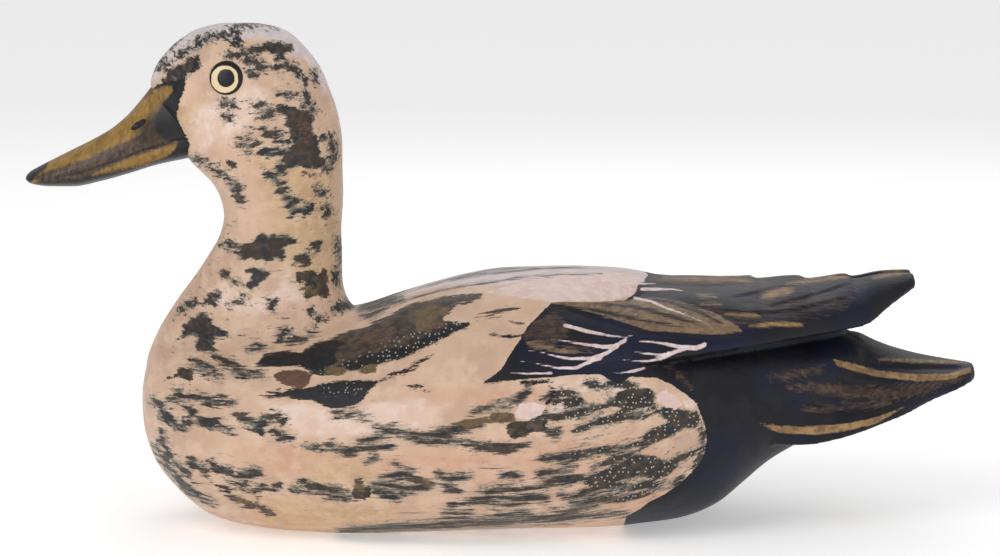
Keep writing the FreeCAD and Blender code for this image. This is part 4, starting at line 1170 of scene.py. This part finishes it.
eyeShape = {"along": -113.6, "up": 189.0, "radius": 7.0, "dome": 1.5, "round": 2.6, "bedded": 0.1,
            "sink": 1.2, "skirt": 0.15, "around": 72, "iris": 5.5, "pupil": 3.7}
eyePaint = {"iris": tone(232, 208, 168), "rim": tone(26, 25, 27), "pupil": tone(30, 32, 40),
            "wobbleScale": 320.0, "wobble": 0.9, "lid": 0.09, "rimEdge": (0.35, 0.65),
            "pupilEdge": (0.3, 0.6)}


def eyeMesh(side, skinTree):
    # A dome that sits on the cheek's own slope, with a skirt that goes into the wood.
    rings, outer = [], eyeShape["radius"]
    for radius in [*np.linspace(0.25, outer, 26), outer + eyeShape["skirt"]]:
        share = min(radius / outer, 1.0)
        rise = eyeShape["dome"] * math.sqrt(1 - share ** eyeShape["round"]) - eyeShape["bedded"]
        if radius > outer:
            rise = -eyeShape["sink"]
        ring = []
        for x, z in circle(eyeShape["along"], eyeShape["up"], radius, eyeShape["around"]):
            spot, _, _, _ = skinTree.ray_cast(Vector((x, side * 60, z)) * mm,
                                              Vector((0, -side, 0)))
            ring.append((x, spot.y / mm + side * rise, z))
        rings.append(np.array(ring))
    mesh = outward(ringsMesh("eye", rings))
    points = coordinates(mesh)
    setField(mesh, "radius", np.hypot(points[:, 0] - eyeShape["along"],
                                      points[:, 2] - eyeShape["up"]))
    setField(mesh, "lid", points[:, 0] - eyeShape["along"] + points[:, 2] - eyeShape["up"])
    mesh.shade_smooth()
    return mesh


def eyeMaterial():
    material, tree, shader = newMaterial("paintedEye")
    radius = field(tree, "radius", (-6, 0)).outputs["Fac"]
    lid = field(tree, "lid", (-6, 1)).outputs["Fac"]
    place = addNode(tree, "ShaderNodeTexCoord", (-7, 2)).outputs["Object"]
    wobble = noise(tree, (-6, 2), place, eyePaint["wobbleScale"], 3.0)
    shaky = arith(tree, (-5, 1), "MULTIPLY_ADD", wobble, eyePaint["wobble"], radius)
    thick = arith(tree, (-4, 1), "MULTIPLY_ADD", lid, eyePaint["lid"], shaky)   # thicker above and behind
    rimEdge = [eyeShape["iris"] + edge for edge in eyePaint["rimEdge"]]
    pupilEdge = [eyeShape["pupil"] + edge for edge in eyePaint["pupilEdge"]]
    rim = ramp(tree, (-3, 0), thick, *rimEdge)
    centre = ramp(tree, (-3, 1), shaky, *pupilEdge, 1.0, 0.0)
    colour = over(tree, (-2, 0), eyePaint["iris"], eyePaint["rim"], rim)
    colour = over(tree, (-1, 0), colour, eyePaint["pupil"], centre)
    finishMaterial(tree, shader, colour, surfaces["eye"], wobble, relief["eye"])
    return material


hardwareFinishes = {
    "tarnishedBrass": {"colours": (tone(150, 118, 62), tone(112, 88, 50), tone(88, 82, 58)),
                       "metallic": 1.0, "roughness": 0.42, "grain": 2.0},
    "dullSteel": {"colours": (tone(140, 140, 138), tone(116, 114, 110), tone(96, 84, 74)),
                  "metallic": 1.0, "roughness": 0.46, "grain": 2.0},
    "castIron": {"colours": (tone(62, 60, 58), tone(48, 47, 46), tone(86, 66, 52)),
                 "metallic": 0.8, "roughness": 0.6, "grain": 1.2},
    "paintedWood": {"colours": (tone(198, 166, 142), tone(184, 150, 126), tone(208, 180, 156)),
                    "metallic": 0.0, "roughness": 0.5, "grain": 4.0,
                    "rear": {"from": 55.0, "colour": tone(26, 26, 34)}},
    "bareWood": {"colours": (tone(186, 150, 108), tone(160, 122, 82), tone(204, 172, 130)),
                 "metallic": 0.0, "roughness": 0.65, "grain": 3.0},
}


def hardwareMaterial(name):
    finish = hardwareFinishes[name]
    material, tree, shader = newMaterial(name)
    place = addNode(tree, "ShaderNodeTexCoord", (-6, 0)).outputs["Object"]
    scaled = addNode(tree, "ShaderNodeVectorMath", (-5, 0), {0: place, "Scale": 1000.0},
                     operation="SCALE").outputs[0]
    colour = drift(tree, (-4, 0), scaled, finish["grain"] * 2, *finish["colours"])
    if "rear" in finish:     # the plug under the rump is as dark as the rump
        along = addNode(tree, "ShaderNodeSeparateXYZ", (-4, 1), {0: scaled}).outputs["X"]
        behind = arith(tree, (-3, 1), "GREATER_THAN", along, finish["rear"]["from"])
        colour = over(tree, (-3, 0), colour, finish["rear"]["colour"], behind)
    grain = noise(tree, (-4, 2), scaled, 1 / finish["grain"], 5.0)
    middle, swing = finish["roughness"], 0.12
    rough = ramp(tree, (-3, 2), grain, 0.0, 1.0, middle - swing, middle + swing, "LINEAR")
    tree.links.new(rough, shader.inputs["Roughness"])
    finishMaterial(tree, shader, colour, {"Metallic": finish["metallic"]}, grain, relief["hardware"])
    return material


def finishPiece(name, mesh, node, material):
    piece = showPiece(name, mesh)
    mesh.materials.clear()
    mesh.materials.append(material)
    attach(piece, "decoy")
    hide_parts(node)


print("skin")
skin = duckSkin()
skinTree = BVHTree.FromPolygons([v.co for v in skin.vertices],
                                [tuple(p.vertices) for p in skin.polygons])
print("pieces", len(skin.vertices))
duckMaterial = duckPaint()
parts = sliced(skin)
hollow = egg(underside["wall"], *underside["hollow"])
parts["shell"] = cutAway(parts["shell"], hollow)
parts["board"] = cutAway(parts["board"], boardCuts())
for part, name, node in (("shell", "carvedBody", "body_shell"), ("board", "baseBoard", "bottom_board"),
                         ("head", "carvedHead", "head_and_neck")):
    keepSkinShading(parts[part], skin)
    layPaint(parts[part], paintLayers)
    finishPiece(name, parts[part], node, duckMaterial)
    print(name, len(parts[part].polygons))

print("bill and eyes")
finishPiece("carvedBill", billMesh(), "bill", billMaterial())
eyeFinish = eyeMaterial()
for name, side, node in (("leftEyeButton", -1, "left_eye"), ("rightEyeButton", 1, "right_eye")):
    finishPiece(name, eyeMesh(side, skinTree), node, eyeFinish)

print("hardware")
for material, nodes in (("tarnishedBrass", ("bottom_screws", "ballast_screws", "line_tie_staple",
                                            "line_tie_ring")),
                        ("dullSteel", ("neck_screw", "neck_washer")),
                        ("castIron", ("ballast_weight",)),
                        ("paintedWood", ("screw_plugs",)),
                        ("bareWood", ("bill_dowel", "neck_dowels"))):
    finish = hardwareMaterial(material)
    for name in nodes:
        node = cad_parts[name]
        for slot in node.material_slots:
            slot.material = finish

print("stage")
stageSettings = {"aim": (-0.85, 0.0, 102.4), "distance": 1420.0, "elevation": 8.0, "lens": 121.0,
                 "floor": 4000.0, "floorLines": 9, "floorGlow": 0.36, "skyStrength": 0.5, "backdrop": 0.92,
                 "lightAim": (0, 0, 80)}
stageLights = (("keyLight", (-700, -1100, 1100), 0.9, 8), ("fillLight", (900, -900, 600), 1.2, 2.5),
               ("backLight", (200, 1100, 1000), 1.0, 3))     # name, place, size in metres, watts


def turnedTo(thing, place, target):
    thing.location = place
    thing.rotation_euler = (target - place).to_track_quat("-Z", "Y").to_euler()


def buildStage():
    scene = bpy.context.scene
    lens = bpy.data.cameras.new("camera")
    lens.lens = stageSettings["lens"]
    camera = bpy.data.objects.new("camera", lens)
    scene.collection.objects.link(camera)
    aim = Vector(stageSettings["aim"]) * mm
    tilt = math.radians(stageSettings["elevation"])
    way = Vector((0, -math.cos(tilt), math.sin(tilt)))
    turnedTo(camera, aim + way * stageSettings["distance"] * mm, aim)
    scene.camera = camera
    half = stageSettings["floor"] * mm
    lines = stageSettings["floorLines"]
    steps = np.linspace(-half, half, lines)
    points = [(x, y, 0.0) for y in steps for x in steps]
    corners = [row * lines + c for row in range(lines - 1) for c in range(lines - 1)]
    faces = [(c, c + 1, c + lines + 1, c + lines) for c in corners]
    mesh = bpy.data.meshes.new("floor")
    mesh.from_pydata(points, [], faces)
    floor = showPiece("floor", mesh)
    material, tree, shader = newMaterial("paleFloor")
    shader.inputs["Base Color"].default_value = tone(246, 246, 246)
    shader.inputs["Roughness"].default_value = 0.9
    shader.inputs["Emission Color"].default_value = tone(255, 255, 255)
    shader.inputs["Emission Strength"].default_value = stageSettings["floorGlow"]
    mesh.materials.append(material)
    world = bpy.data.worlds.new("studio")
    world.use_nodes = True
    sky = world.node_tree.nodes["Background"]
    sky.inputs["Color"].default_value = (1, 1, 1, 1)
    seen = addNode(world.node_tree, "ShaderNodeLightPath", (-3, 0)).outputs["Is Camera Ray"]
    strength = ramp(world.node_tree, (-2, 0), seen, 0.0, 1.0, stageSettings["skyStrength"],
                    stageSettings["backdrop"], "LINEAR")
    world.node_tree.links.new(strength, sky.inputs["Strength"])
    scene.world = world
    for name, place, size, watts in stageLights:
        data = bpy.data.lights.new(name, "AREA")
        data.size = size
        data.energy = watts
        light = bpy.data.objects.new(name, data)
        turnedTo(light, Vector(place) * mm, Vector(stageSettings["lightAim"]) * mm)
        scene.collection.objects.link(light)
    scene.view_settings.view_transform = "Standard"


buildStage()
for block in [m for m in bpy.data.meshes if m.users == 0]:
    bpy.data.meshes.remove(block)
